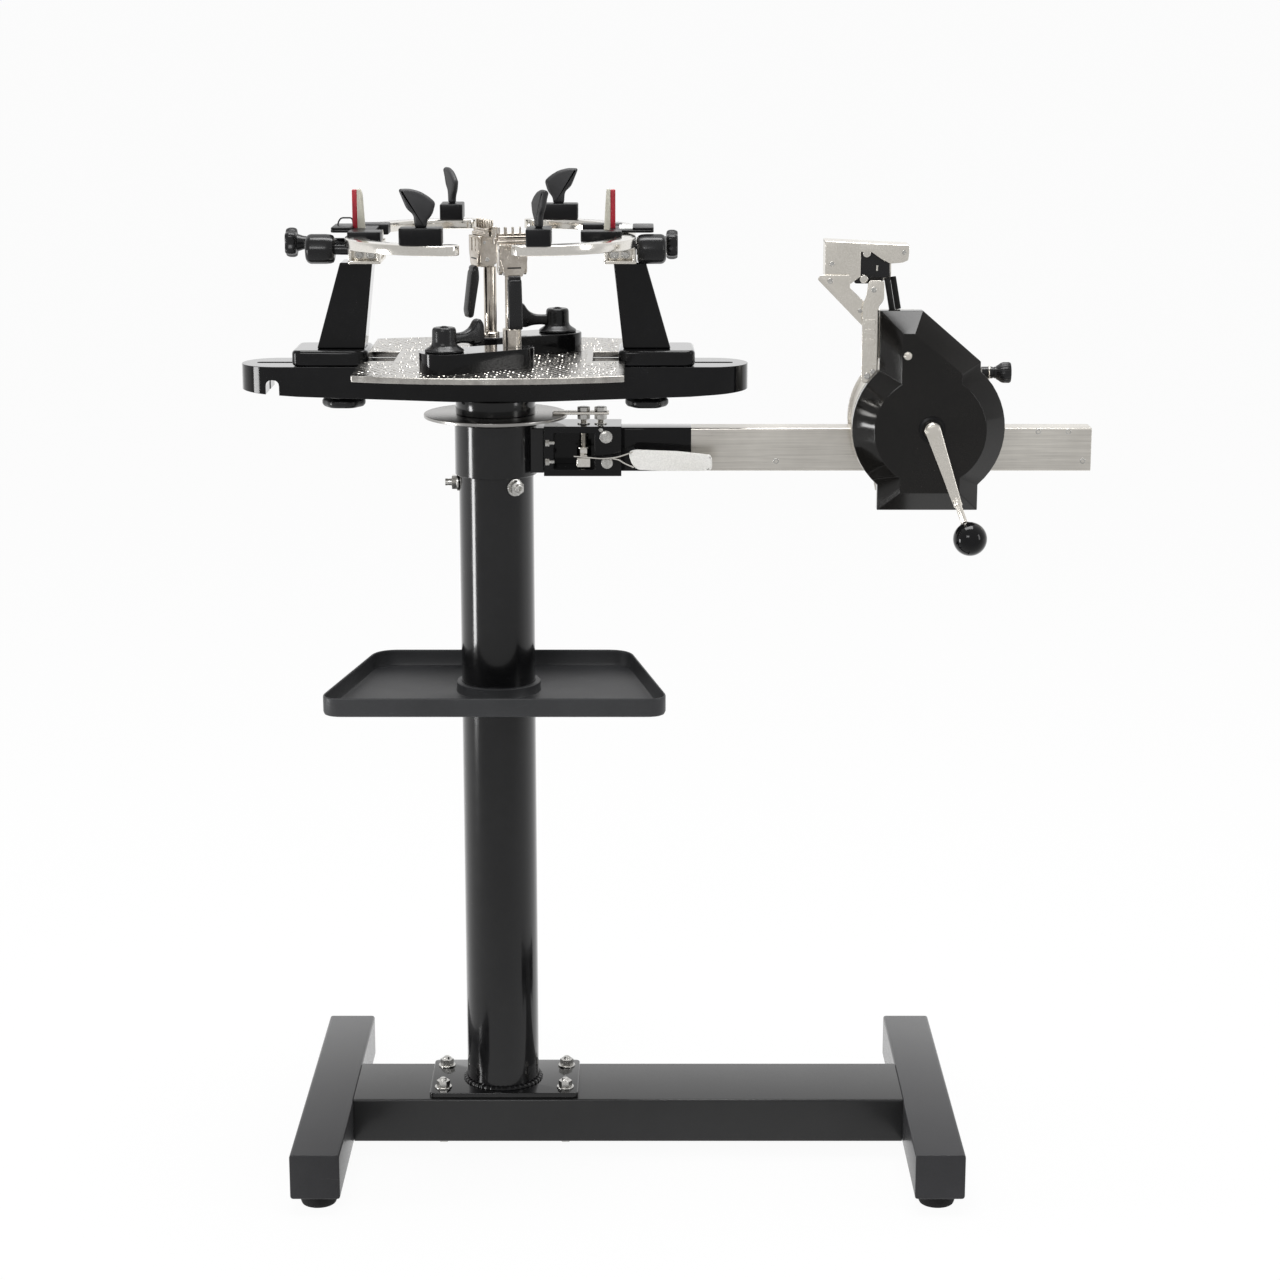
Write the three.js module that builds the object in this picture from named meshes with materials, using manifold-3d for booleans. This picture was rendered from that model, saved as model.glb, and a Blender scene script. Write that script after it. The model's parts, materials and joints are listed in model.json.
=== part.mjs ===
// Racket stringing machine on a floor stand, in millimetres.
// X runs along the tension rail, -Y is the side where the stringer stands, and Z is up.
// Sizes and places are measured from the floor under the post's axis.
import * as THREE from 'three';
import { mergeVertices } from 'three/addons/utils/BufferGeometryUtils.js';
import Module from 'manifold-3d';

const wasm = await Module();
wasm.setup();

// Clearances that every fit shares
const runningGap = 0.5;
const restingGap = 0.3;
const overrun = 4;

// Sides of round pieces
const roundSides = 32;
const smallSides = 20;
const discSides = 48;
const nutSides = 6;
const ballSides = 14;
const cornerSteps = 4;
const arcSteps = 14;
const lobeSteps = 6;
const weldShare = 1e-4;

// Floor stand
const foot = { radius: 19.5, height: 18, inset: 35, bevel: 3 };
const footBar = { width: 53, height: 50, halfLength: 205, leftX: -190.5, rightX: 471.5, bevel: 2.5 };
const crossBeam = { halfWidth: 54, wall: 3 };
const flange = { centreX: 2.5, halfLength: 82.5, halfWidth: 50, thickness: 6, cornerRadius: 6 };
const post = { radius: 40, wall: 3.5, length: 744 };
const tray = {
  lift: 446.5, rimHeight: 21, wall: 2, frontHalf: 185, backHalf: 142, halfDepth: 111, cornerRadius: 26,
  neckWall: 5, neckHeight: 12,
};

// Post head: clamp collar, spindle, bracket and brake
const collar = { wall: 4, height: 56, lugReach: 52, lugHalf: 22, lugInset: 4 };
const spindle = { radius: 15, flangeRadius: 38, flangeThickness: 5.2, length: 24 };
const bracket = {
  length: 82, frontReach: 30, drop: 1, height: 53, wall: 7, webThickness: 14, mouthInset: 10, mouthLength: 44,
};
const rail = { length: 499, halfDepth: 15, height: 46, lift: 3, wall: 3 };
const brakeDisc = { radius: 76.3, thickness: 3.5 };
const caliper = {
  inset: 9, length: 60, y: -10, halfWidth: 9, strapThickness: 3, studRadius: 5, studInset: 42,
  studSpacing: 18, standProud: 6,
};
const brakeScrew = {
  inset: 42, frontInset: 11, radius: 4, nutRadius: 8, nutHeight: 9, shoulderHeight: 12,
};
const brakeLever = {
  thickness: 3, eyeRadius: 9, lift: 22, strapWidth: 8, clearance: 6, paddleLength: 90, paddleRise: 9,
  paddleDrop: 14, forward: 16, cornerRadius: 9,
};

// Turntable
const hub = { radius: 42.5, height: 17 };
const bar = {
  halfLength: 268, halfWidth: 37.5, thickness: 37, tipRise: 10, shoulderRise: 5.5, shoulderInset: 62,
  slotHalf: 4.75, slotStartX: 112, slotEndInset: 16, notchInset: 36, notchWidth: 14, notchHeight: 13,
};
const plate = {
  halfLength: 138, cornerY: 150, bulge: 22, thickness: 6.5, cornerRadius: 24, notchDepth: 34, notchGap: 1.5,
};

// Racket supports
const support = {
  innerX: 131, length: 80.5, baseHalf: 37, baseHeight: 17, baseCorner: 10, towerInset: 5, towerFoot: 50,
  towerTop: 34, towerLean: 10, towerHalf: 19, towerHeight: 90, headOverhang: 10, headLength: 34,
  headHalf: 34, headHeight: 20.7, headCorner: 4,
};
const lockKnob = { inset: 30, radius: 23, height: 10, stemRadius: 4, lobes: 6, lobeDepth: 2 };
const stop = {
  leftInset: 18.5, rightInset: 1, width: 14.5, halfThickness: 3, height: 43, cornerRadius: 4, capInset: 6,
  capLength: 46, capHalf: 30, capThickness: 5, capLift: 1, footHalf: 4,
};
const arm = { pivotInset: 14, pivotY: 20, bossRadius: 13, arcRadius: 98, width: 22, thickness: 10 };
const armAnglesShare = { start: 0.1333, end: -0.5111 };
const hook = {
  blockLength: 43, blockWidth: 25, blockHeight: 17, blockCorner: 3, leafThickness: 7, leafHeight: 39,
  neckHalf: 6.5, leafHalf: 18,
};
const hookAnglesShare = { broad: -0.4225, narrow: -0.4584 };
const sideKnob = {
  radius: 15.5, length: 30, stemRadius: 6, y: -27, lift: 15, leftReach: 44, rightReach: 31, bevel: 3,
};
const starKnob = {
  radius: 17, length: 13, stemRadius: 5, y: 22, lift: 16, leftReach: 71, rightReach: 44, lobes: 5,
  lobeDepth: 3.5,
};

// String clamps
const clampBase = { height: 20.3, knobRadius: 26, postRadius: 23, spacing: 78 };
const camLever = {
  flangeRadius: 20, flangeHeight: 5, hubRadius: 12.5, height: 25, armHalf: 5, armLength: 30,
  paddleLength: 15, paddleHalf: 5.5, paddleHeight: 27, armBottom: 7, armTop: 17,
};
const clampPost = { radius: 6.8, length: 73.2, collarRadius: 9.8, collarHeight: 20, depth: 12 };
const clampHead = {
  width: 28, depth: 24, bodyHeight: 32, jawHeight: 11, fingerHeight: 7, chinHalf: 10, jawLength: 36,
  jawWidth: 6, jawGap: 1.6, fingerWidth: 3.5, fingers: 4, forward: 6,
};
const clampLever = {
  width: 14, length: 52, thickness: 8, pinLift: 5, tipRadius: 5, drop: 2, tongueWidth: 6, tongueHeight: 15,
};
const frontClamp = { name: 'front', x: 22, y: -80, baseTurn: 210.8, camTurn: 35, headTurn: 12 };
const backClamp = { name: 'back', x: -5, y: 15, baseTurn: 26, camTurn: 182, headTurn: -65 };

// Tension head on the rail
const slopeInsetShare = 0.45;
const housing = {
  x: 455.6, lift: 29, radius: 80, leftReach: 52.6, rightReach: 53, topRise: 123, topLength: 44, cornerRise: 70,
  bottomDrop: 87, coverBack: 42, coverDepth: 34, faceInset: 22, bodyBack: 34, bodyInset: 1,
};
const crank = {
  offsetX: 1.4, offsetZ: 2, hubRadius: 9, hubLength: 9, axleRadius: 5, axleDepth: 14, armWidth: 11,
  armThickness: 6, armLength: 78, rodRadius: 3.5, ballRadius: 18, reach: 116, ballLift: 32, turn: 19.5,
};
const tensionKnob = {
  lift: 55, y: -28, stemRadius: 6.5, headRadius: 11, stemLength: 11, headLength: 14, gap: 0.4,
};
const gripper = {
  width: 18.7, footLift: 43, plate: 5, lap: 12, postDepth: 14, headBack: 38, headLength: 87, headRise: 24,
  headHeight: 47, headForward: 2, headDepth: 36, wall: 4, strutDrop: 41, strutWidth: 26, windowInset: 28,
  jawInset: 2, jawLength: 32, jawSetback: 5, jawDepth: 23, jawDrop: 2,
};

// Heights that follow from the sizes above
const beamBottomZ = foot.height;
const beamTopZ = beamBottomZ + footBar.height;
const postBottomZ = beamTopZ + flange.thickness;
const postTopZ = postBottomZ + post.length;
const trayBottomZ = postBottomZ + tray.lift;
const collarBottomZ = postTopZ - collar.height;
const bracketTopZ = postTopZ - bracket.drop;
const bracketBottomZ = bracketTopZ - bracket.height;
const railBottomZ = bracketBottomZ + rail.lift;
const railTopZ = railBottomZ + rail.height;
const discBottomZ = postTopZ + spindle.flangeThickness + restingGap;
const hubBottomZ = discBottomZ + brakeDisc.thickness;
const barBottomZ = hubBottomZ + hub.height;
const barTopZ = barBottomZ + bar.thickness;
const plateTopZ = barTopZ + plate.thickness;
const baseTopZ = plateTopZ + clampBase.height;
const clampHeadZ = baseTopZ + clampPost.length;
const supportFloorZ = barTopZ + support.baseHeight;
const towerTopZ = supportFloorZ + support.towerHeight;
const headTopZ = towerTopZ + support.headHeight;
const armBottomZ = headTopZ + restingGap;
const armTopZ = armBottomZ + arm.thickness;
const capZ = armTopZ + stop.capLift;
const housingZ = (railBottomZ + railTopZ) / 2 + housing.lift;

// Places along X and Y that follow from the sizes above
const bracketEndX = collar.lugReach + bracket.length;
const railEndX = bracketEndX + rail.length;
const brakeScrewX = collar.lugReach + brakeScrew.inset;
const brakeScrewY = brakeScrew.frontInset - bracket.frontReach;
const headInnerX = support.innerX + support.towerInset - support.towerLean - support.headOverhang;
const headOuterX = headInnerX + support.headLength;
const pivotX = headInnerX + arm.pivotInset;
const armStart = armAnglesShare.start * Math.PI;
const armEnd = armAnglesShare.end * Math.PI;
const arcCentreX = pivotX - arm.arcRadius * Math.cos(armStart);
const arcCentreY = -arm.pivotY - arm.arcRadius * Math.sin(armStart);
const housingLeftX = housing.x - housing.leftReach;
const coverFrontY = -housing.coverBack - housing.coverDepth;

const finish = {
  powderCoat: { color: 0x2b2b2d, roughness: 0.55, metalness: 0.2 },
  glossBlack: { color: 0x101011, roughness: 0.22, metalness: 0.1 },
  steel: { color: 0xaaa69f, roughness: 0.35, metalness: 0.9 },
  nickel: { color: 0xc9c3b8, roughness: 0.25, metalness: 0.95 },
  rubber: { color: 0x1a1a1b, roughness: 0.85, metalness: 0 },
  plastic: { color: 0x18181a, roughness: 0.4, metalness: 0 },
  ivory: { color: 0xd8d5c8, roughness: 0.5, metalness: 0 },
};

const machine = new THREE.Group();

// A closed geometry becomes a solid that can be joined and cut.
function solid(geometry) {
  const bare = geometry.clone();
  bare.deleteAttribute('normal');
  bare.deleteAttribute('uv');
  const merged = mergeVertices(bare, weldShare);
  return new wasm.Manifold(new wasm.Mesh({
    numProp: 3,
    vertProperties: new Float32Array(merged.attributes.position.array),
    triVerts: new Uint32Array(merged.index.array),
  }));
}

function join(first, ...others) {
  return others.reduce((total, next) => total.add(next), first);
}

function cut(first, ...others) {
  return others.reduce((total, next) => total.subtract(next), first);
}

function geometryOf(body) {
  const mesh = body.getMesh();
  const geometry = new THREE.BufferGeometry();
  const points = new Float32Array(mesh.numVert * 3);
  for (let i = 0; i < mesh.numVert; i += 1) {
    points.set(mesh.vertProperties.subarray(i * mesh.numProp, i * mesh.numProp + 3), i * 3);
  }
  geometry.setAttribute('position', new THREE.BufferAttribute(points, 3));
  geometry.setIndex(new THREE.BufferAttribute(new Uint32Array(mesh.triVerts), 1));
  geometry.computeVertexNormals();
  return geometry;
}

function addPart(name, body, look, parent = machine) {
  const mesh = new THREE.Mesh(geometryOf(body), new THREE.MeshStandardMaterial(look));
  mesh.name = name;
  parent.add(mesh);
  return mesh;
}

function block(x0, x1, y0, y1, z0, z1) {
  const geometry = new THREE.BoxGeometry(Math.abs(x1 - x0), Math.abs(y1 - y0), Math.abs(z1 - z0));
  geometry.translate((x0 + x1) / 2, (y0 + y1) / 2, (z0 + z1) / 2);
  return solid(geometry);
}

// A turned piece about Z from a profile of [radius, height] points that starts and ends on the axis
function turned(profile, sides, x = 0, y = 0) {
  const points = profile.map(([radius, height]) => new THREE.Vector2(radius, height));
  const geometry = new THREE.LatheGeometry(points, sides);
  geometry.rotateX(Math.PI / 2);
  geometry.translate(x, y, 0);
  return solid(geometry);
}

function upright(radius, z0, z1, x = 0, y = 0, sides = roundSides) {
  return turned([[0, z0], [radius, z0], [radius, z1], [0, z1]], sides, x, y);
}

// The same turned piece laid along X: it starts at startX and runs towards the given side
function alongX(profile, startX, side, y, z, sides = smallSides) {
  const points = profile.map(([radius, place]) => new THREE.Vector2(radius, place));
  const geometry = new THREE.LatheGeometry(points, sides);
  geometry.rotateZ(-side * Math.PI / 2);
  geometry.translate(startX, y, z);
  return solid(geometry);
}

function alongY(radius, y0, y1, x, z, sides = smallSides) {
  const geometry = new THREE.CylinderGeometry(radius, radius, y1 - y0, sides);
  geometry.translate(x, (y0 + y1) / 2, z);
  return solid(geometry);
}

// A plan outline in X and Y, raised from z0 to z1
function raised(outline, z0, z1) {
  const shape = new THREE.Shape(outline.map(([x, y]) => new THREE.Vector2(x, y)));
  const geometry = new THREE.ExtrudeGeometry(shape, { depth: z1 - z0, bevelEnabled: false });
  geometry.translate(0, 0, z0);
  return solid(geometry);
}

// A front outline in X and Z, carried from y0 back to y1
function carried(outline, y0, y1) {
  const shape = new THREE.Shape(outline.map(([x, z]) => new THREE.Vector2(x, z)));
  const geometry = new THREE.ExtrudeGeometry(shape, { depth: y1 - y0, bevelEnabled: false });
  geometry.rotateX(Math.PI / 2);
  geometry.translate(0, y1, 0);
  return solid(geometry);
}

function arcPoints(x, y, radius, start, end, steps) {
  const points = [];
  for (let i = 0; i <= steps; i += 1) {
    const angle = start + (end - start) * i / steps;
    points.push([x + radius * Math.cos(angle), y + radius * Math.sin(angle)]);
  }
  return points;
}

// A polygon whose corners are rounded with one radius
function roundedOutline(corners, radius) {
  const points = [];
  corners.forEach((corner, i) => {
    const here = new THREE.Vector2(...corner);
    const before = new THREE.Vector2(...corners[(i + corners.length - 1) % corners.length]).sub(here);
    const after = new THREE.Vector2(...corners[(i + 1) % corners.length]).sub(here);
    const half = Math.acos(before.clone().normalize().dot(after.clone().normalize())) / 2;
    const back = radius / Math.tan(half);
    const from = here.clone().add(before.setLength(back));
    const to = here.clone().add(after.setLength(back));
    const curve = new THREE.QuadraticBezierCurve(from, here, to);
    curve.getPoints(cornerSteps).forEach((point) => points.push([point.x, point.y]));
  });
  return points;
}

function boxOutline(x0, x1, y0, y1, radius) {
  return roundedOutline([[x0, y0], [x1, y0], [x1, y1], [x0, y1]], radius);
}

// The outline round two circles of different radius, the second one at +X
function capsuleOutline(firstRadius, secondRadius, spacing) {
  const lean = Math.asin((firstRadius - secondRadius) / spacing);
  const quarter = Math.PI / 2;
  return [
    ...arcPoints(0, 0, firstRadius, quarter - lean, 3 * quarter + lean, arcSteps),
    ...arcPoints(spacing, 0, secondRadius, -quarter + lean, quarter - lean, arcSteps),
  ];
}

// A round knob outline whose edge is scalloped into lobes
function lobedOutline(radius, depth, lobes) {
  const points = [];
  const count = lobes * lobeSteps;
  for (let i = 0; i < count; i += 1) {
    const angle = 2 * Math.PI * i / count;
    const reach = radius - depth / 2 + depth / 2 * Math.cos(lobes * angle);
    points.push([reach * Math.cos(angle), reach * Math.sin(angle)]);
  }
  return points;
}

// A stretch of X on the right side, or its mirror image on the left
function between(side, inner, outer) {
  return side > 0 ? [inner, outer] : [-outer, -inner];
}

function addStand() {
  for (const [side, x] of [['left', footBar.leftX], ['right', footBar.rightX]]) {
    const half = footBar.width / 2;
    const outline = roundedOutline([
      [x - half, beamBottomZ], [x + half, beamBottomZ], [x + half, beamTopZ], [x - half, beamTopZ],
    ], footBar.bevel);
    addPart(`foot_bar_${side}`, carried(outline, -footBar.halfLength, footBar.halfLength), finish.powderCoat);
    for (const [end, sign] of [['front', -1], ['back', 1]]) {
      const y = sign * (footBar.halfLength - foot.inset);
      const body = turned([
        [0, 0], [foot.radius - foot.bevel, 0], [foot.radius, foot.bevel], [foot.radius, foot.height],
        [0, foot.height],
      ], roundSides, x, y);
      addPart(`rubber_foot_${side}_${end}`, body, finish.rubber);
    }
  }
  const startX = footBar.leftX + footBar.width / 2;
  const endX = footBar.rightX - footBar.width / 2;
  const half = crossBeam.halfWidth;
  const inner = half - crossBeam.wall;
  const beam = cut(
    block(startX, endX, -half, half, beamBottomZ, beamTopZ),
    block(
      startX - overrun, endX + overrun, -inner, inner, beamBottomZ + crossBeam.wall,
      beamTopZ - crossBeam.wall,
    ),
  );
  addPart('cross_beam', beam, finish.powderCoat);
}

function addPost() {
  const outline = boxOutline(
    flange.centreX - flange.halfLength, flange.centreX + flange.halfLength,
    -flange.halfWidth, flange.halfWidth, flange.cornerRadius,
  );
  const tube = join(raised(outline, beamTopZ, postBottomZ), upright(post.radius, postBottomZ, postTopZ));
  const bore = upright(post.radius - post.wall, beamTopZ - overrun, postTopZ + overrun);
  addPart('post', cut(tube, bore), finish.glossBlack);

  const rim = (inset) => {
    const front = tray.frontHalf - inset;
    const back = tray.backHalf - inset;
    const depth = tray.halfDepth - inset;
    return roundedOutline(
      [[-front, -depth], [front, -depth], [back, depth], [-back, depth]], tray.cornerRadius - inset,
    );
  };
  const floorZ = trayBottomZ + tray.wall;
  const rimZ = trayBottomZ + tray.rimHeight;
  const pan = cut(raised(rim(0), trayBottomZ, rimZ), raised(rim(tray.wall), floorZ, rimZ + overrun));
  const neck = upright(post.radius + tray.neckWall, trayBottomZ, floorZ + tray.neckHeight);
  const hole = upright(post.radius + restingGap, trayBottomZ - overrun, rimZ);
  addPart('tray', cut(join(pan, neck), hole), finish.powderCoat);

  const ring = upright(post.radius + collar.wall, collarBottomZ, postTopZ);
  const lug = block(
    0, collar.lugReach, -collar.lugHalf, collar.lugHalf, collarBottomZ + collar.lugInset,
    postTopZ - collar.lugInset,
  );
  const clampBore = upright(post.radius + restingGap, collarBottomZ - overrun, postTopZ + overrun);
  addPart('post_collar', cut(join(ring, lug), clampBore), finish.glossBlack);

  const stepZ = discBottomZ - restingGap;
  const spindleTopZ = postTopZ + spindle.length;
  addPart('spindle', turned([
    [0, postTopZ], [spindle.flangeRadius, postTopZ], [spindle.flangeRadius, stepZ],
    [spindle.radius, stepZ], [spindle.radius, spindleTopZ], [0, spindleTopZ],
  ], roundSides), finish.steel);
}

function addBracket() {
  const frontY = -bracket.frontReach;
  const shell = block(
    collar.lugReach, bracketEndX, frontY, collar.lugHalf, bracketBottomZ, bracketTopZ,
  );
  const mouthX = collar.lugReach + bracket.mouthInset;
  const mouth = block(
    mouthX, mouthX + bracket.mouthLength, frontY - overrun, collar.lugHalf - bracket.webThickness,
    bracketBottomZ + bracket.wall, bracketTopZ - bracket.wall,
  );
  const screwHole = upright(
    brakeScrew.radius + restingGap, bracketBottomZ - overrun, bracketTopZ + overrun, brakeScrewX,
    brakeScrewY, smallSides,
  );
  addPart('arm_bracket', cut(shell, mouth, screwHole), finish.glossBlack);

  const tube = block(bracketEndX, railEndX, -rail.halfDepth, rail.halfDepth, railBottomZ, railTopZ);
  const inner = rail.halfDepth - rail.wall;
  const hollow = block(
    bracketEndX - overrun, railEndX - rail.wall, -inner, inner, railBottomZ + rail.wall, railTopZ - rail.wall,
  );
  addPart('rail', cut(tube, hollow), finish.steel);
}

// The caliper's jaws lie over and under the disc. The lever turns on the screw in the bracket's mouth.
function addBrake() {
  const jawStartX = collar.lugReach + caliper.inset;
  const jawEndX = jawStartX + caliper.length;
  const jawFrontY = caliper.y - caliper.halfWidth;
  const jawBackY = caliper.y + caliper.halfWidth;
  const strapZ = hubBottomZ + runningGap;
  const strapTopZ = strapZ + caliper.strapThickness;
  const strap = block(jawStartX, jawEndX, jawFrontY, jawBackY, strapZ, strapTopZ);
  const jaw = block(jawStartX, jawEndX, jawFrontY, jawBackY, bracketTopZ, discBottomZ - runningGap);
  const studX = collar.lugReach + caliper.studInset;
  const studs = [studX, studX + caliper.studSpacing].map((x) => upright(
    caliper.studRadius, bracketTopZ, strapTopZ + caliper.standProud, x, caliper.y, smallSides,
  ));
  addPart('brake_caliper', join(strap, jaw, ...studs), finish.nickel);

  const lever = brakeLever;
  const leverZ = bracketBottomZ + lever.lift;
  const leverTopZ = leverZ + lever.thickness;
  const seatZ = bracketBottomZ + bracket.wall;
  const shoulderZ = leverTopZ + restingGap;
  const nut = (z0, z1) => upright(brakeScrew.nutRadius, z0, z1, brakeScrewX, brakeScrewY, nutSides);
  addPart('brake_screw', join(
    upright(brakeScrew.radius, bracketBottomZ, bracketTopZ, brakeScrewX, brakeScrewY, smallSides),
    nut(seatZ, seatZ + brakeScrew.nutHeight),
    nut(shoulderZ, shoulderZ + brakeScrew.shoulderHeight),
  ), finish.nickel);

  const reachY = -bracket.frontReach - lever.forward;
  const paddleX = bracketEndX + lever.clearance;
  const disc = (radius, z0, z1) => upright(radius, z0, z1, brakeScrewX, brakeScrewY, smallSides);
  const eye = cut(
    disc(lever.eyeRadius, leverZ, leverTopZ),
    disc(brakeScrew.radius + restingGap, leverZ - overrun, leverTopZ + overrun),
  );
  const neckY = brakeScrewY - lever.eyeRadius / 2;
  const strapPlate = raised([
    [brakeScrewX + brakeScrew.radius + lever.thickness / 2, neckY],
    [brakeScrewX - brakeScrew.radius, neckY - lever.thickness / 2],
    [brakeScrewX, reachY + lever.thickness],
    [brakeScrewX + lever.strapWidth, reachY],
    [paddleX + lever.thickness, reachY],
    [paddleX + lever.thickness, reachY + lever.thickness],
    [brakeScrewX + lever.strapWidth + lever.thickness, reachY + 2 * lever.thickness],
  ], leverZ, leverTopZ);
  const paddle = carried(boxOutline(
    paddleX, paddleX + lever.paddleLength, leverZ - lever.paddleDrop, leverZ + lever.paddleRise,
    lever.cornerRadius,
  ), reachY, reachY + lever.thickness);
  addPart('brake_lever', join(eye, strapPlate, paddle), finish.nickel);
}

function addTurntable() {
  const bore = (from, to) => upright(spindle.radius + runningGap, from, to);
  addPart('hub', cut(
    upright(hub.radius, hubBottomZ, barBottomZ), bore(hubBottomZ - overrun, barBottomZ + overrun),
  ), finish.glossBlack);
  addPart('brake_disc', cut(
    upright(brakeDisc.radius, discBottomZ, hubBottomZ, 0, 0, discSides),
    bore(discBottomZ - overrun, hubBottomZ + overrun),
  ), finish.steel);

  const straight = bar.halfLength - bar.halfWidth;
  const half = Math.PI / 2;
  const plan = [
    ...arcPoints(straight, 0, bar.halfWidth, -half, half, roundSides / 2),
    ...arcPoints(-straight, 0, bar.halfWidth, half, 3 * half, roundSides / 2),
  ];
  const tipBottomZ = barBottomZ + bar.tipRise;
  const shoulderX = bar.halfLength - bar.shoulderInset;
  const belly = [
    [-bar.halfLength, tipBottomZ], [-shoulderX, barBottomZ + bar.shoulderRise], [-hub.radius, barBottomZ],
    [hub.radius, barBottomZ], [shoulderX, barBottomZ + bar.shoulderRise], [bar.halfLength, tipBottomZ],
    [bar.halfLength, barTopZ + overrun], [-bar.halfLength, barTopZ + overrun],
  ];
  const body = raised(plan, barBottomZ, barTopZ)
    .intersect(carried(belly, -bar.halfWidth - overrun, bar.halfWidth + overrun));
  const slots = [-1, 1].map((side) => raised(boxOutline(
    ...between(side, bar.slotStartX, bar.halfLength - bar.slotEndInset), -bar.slotHalf, bar.slotHalf,
    bar.slotHalf - restingGap,
  ), barBottomZ - overrun, barTopZ + overrun));
  const notchX = bar.notchInset - bar.halfLength;
  const notch = carried(boxOutline(
    notchX - bar.notchWidth / 2, notchX + bar.notchWidth / 2, barBottomZ - overrun,
    tipBottomZ + bar.notchHeight, bar.notchWidth / 2 - restingGap,
  ), -bar.halfWidth - overrun, bar.halfWidth + overrun);
  addPart('turntable_bar', cut(body, ...slots, notch), finish.glossBlack);

  const middleY = plate.cornerY + plate.bulge;
  const arcRadius = (plate.halfLength ** 2 + plate.bulge ** 2) / (2 * plate.bulge);
  const spread = Math.asin(plate.halfLength / arcRadius);
  const front = arcPoints(0, arcRadius - middleY, arcRadius, -half - spread, -half + spread, arcSteps);
  const back = front.map(([x, y]) => [-x, -y]);
  const outer = raised([...front, ...back], barTopZ, plateTopZ);
  const corners = raised(
    boxOutline(-plate.halfLength, plate.halfLength, -middleY, middleY, plate.cornerRadius),
    barTopZ, plateTopZ,
  );
  const notchHalf = support.baseHalf + plate.notchGap;
  const notches = [-1, 1].map((side) => block(
    side * (plate.halfLength - plate.notchDepth), side * (plate.halfLength + overrun), -notchHalf, notchHalf,
    barTopZ - overrun, plateTopZ + overrun,
  ));
  addPart('clamp_plate', cut(outer.intersect(corners), ...notches), finish.steel);
}

// An outline drawn for the right support is flipped over for the left one.
function flipped(outline, side) {
  return side > 0 ? outline : outline.map(([x, y]) => [-x, y]).reverse();
}

function addSupport(sideName, side) {
  const s = support;
  addPart(`support_base_${sideName}`, raised(
    boxOutline(...between(side, s.innerX, s.innerX + s.length), -s.baseHalf, s.baseHalf, s.baseCorner),
    barTopZ, supportFloorZ,
  ), finish.glossBlack);

  const footX = s.innerX + s.towerInset;
  const topX = footX - s.towerLean;
  const towerOutline = flipped([
    [footX, supportFloorZ], [footX + s.towerFoot, supportFloorZ], [topX + s.towerTop, towerTopZ],
    [topX, towerTopZ],
  ], side);
  addPart(`support_tower_${sideName}`, carried(towerOutline, -s.towerHalf, s.towerHalf), finish.glossBlack);

  addPart(`support_head_${sideName}`, raised(
    boxOutline(...between(side, headInnerX, headOuterX), -s.headHalf, s.headHalf, s.headCorner),
    towerTopZ, headTopZ,
  ), finish.nickel);

  const knobTopZ = barBottomZ + runningGap;
  const knobX = side * (s.innerX + lockKnob.inset);
  const knob = raised(
    lobedOutline(lockKnob.radius, lockKnob.lobeDepth, lockKnob.lobes), knobTopZ - lockKnob.height, knobTopZ,
  ).translate([knobX, 0, 0]);
  const stem = upright(lockKnob.stemRadius, knobTopZ - overrun, barTopZ, knobX, 0, smallSides);
  addPart(`lock_knob_${sideName}`, join(knob, stem), finish.plastic);

  addStopAndKnobs(sideName, side);
  for (const [rowName, row] of [['front', -1], ['back', 1]]) addArm(sideName, side, rowName, row);
}

function addStopAndKnobs(sideName, side) {
  const finX = headInnerX + (side > 0 ? stop.rightInset : stop.leftInset);
  const fromTo = between(side, finX, finX + stop.width);
  const fin = carried(
    boxOutline(...fromTo, headTopZ, capZ + stop.height, stop.cornerRadius), -stop.halfThickness,
    stop.halfThickness,
  );
  const finFoot = block(...fromTo, -stop.footHalf, stop.footHalf, headTopZ, capZ);
  const capX = headInnerX + stop.capInset;
  const cap = raised(
    boxOutline(...between(side, capX, capX + stop.capLength), -stop.capHalf, stop.capHalf, stop.capThickness),
    capZ, capZ + stop.capThickness,
  );
  addPart(`centre_stop_${sideName}`, join(fin, finFoot, cap), finish.ivory);

  const reach = side > 0 ? sideKnob.rightReach : sideKnob.leftReach;
  const head = reach - sideKnob.length;
  addPart(`side_knob_${sideName}`, alongX([
    [0, 0], [sideKnob.stemRadius, 0], [sideKnob.stemRadius, head], [sideKnob.radius, head],
    [sideKnob.radius, reach - sideKnob.bevel], [sideKnob.radius - sideKnob.bevel, reach], [0, reach],
  ], side * headOuterX, side, sideKnob.y, towerTopZ + sideKnob.lift), finish.plastic);

  const starReach = side > 0 ? starKnob.rightReach : starKnob.leftReach;
  const starZ = towerTopZ + starKnob.lift;
  const stemLength = starReach - starKnob.length / 2;
  const star = raised(lobedOutline(starKnob.radius, starKnob.lobeDepth, starKnob.lobes), 0, starKnob.length)
    .rotate([0, side * 90, 0])
    .translate([side * (headOuterX + starReach - starKnob.length), starKnob.y, starZ]);
  const starStem = alongX([
    [0, 0], [starKnob.stemRadius, 0], [starKnob.stemRadius, stemLength], [0, stemLength],
  ], side * headOuterX, side, starKnob.y, starZ);
  addPart(`star_knob_${sideName}`, join(star, starStem), finish.plastic);
}

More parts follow.
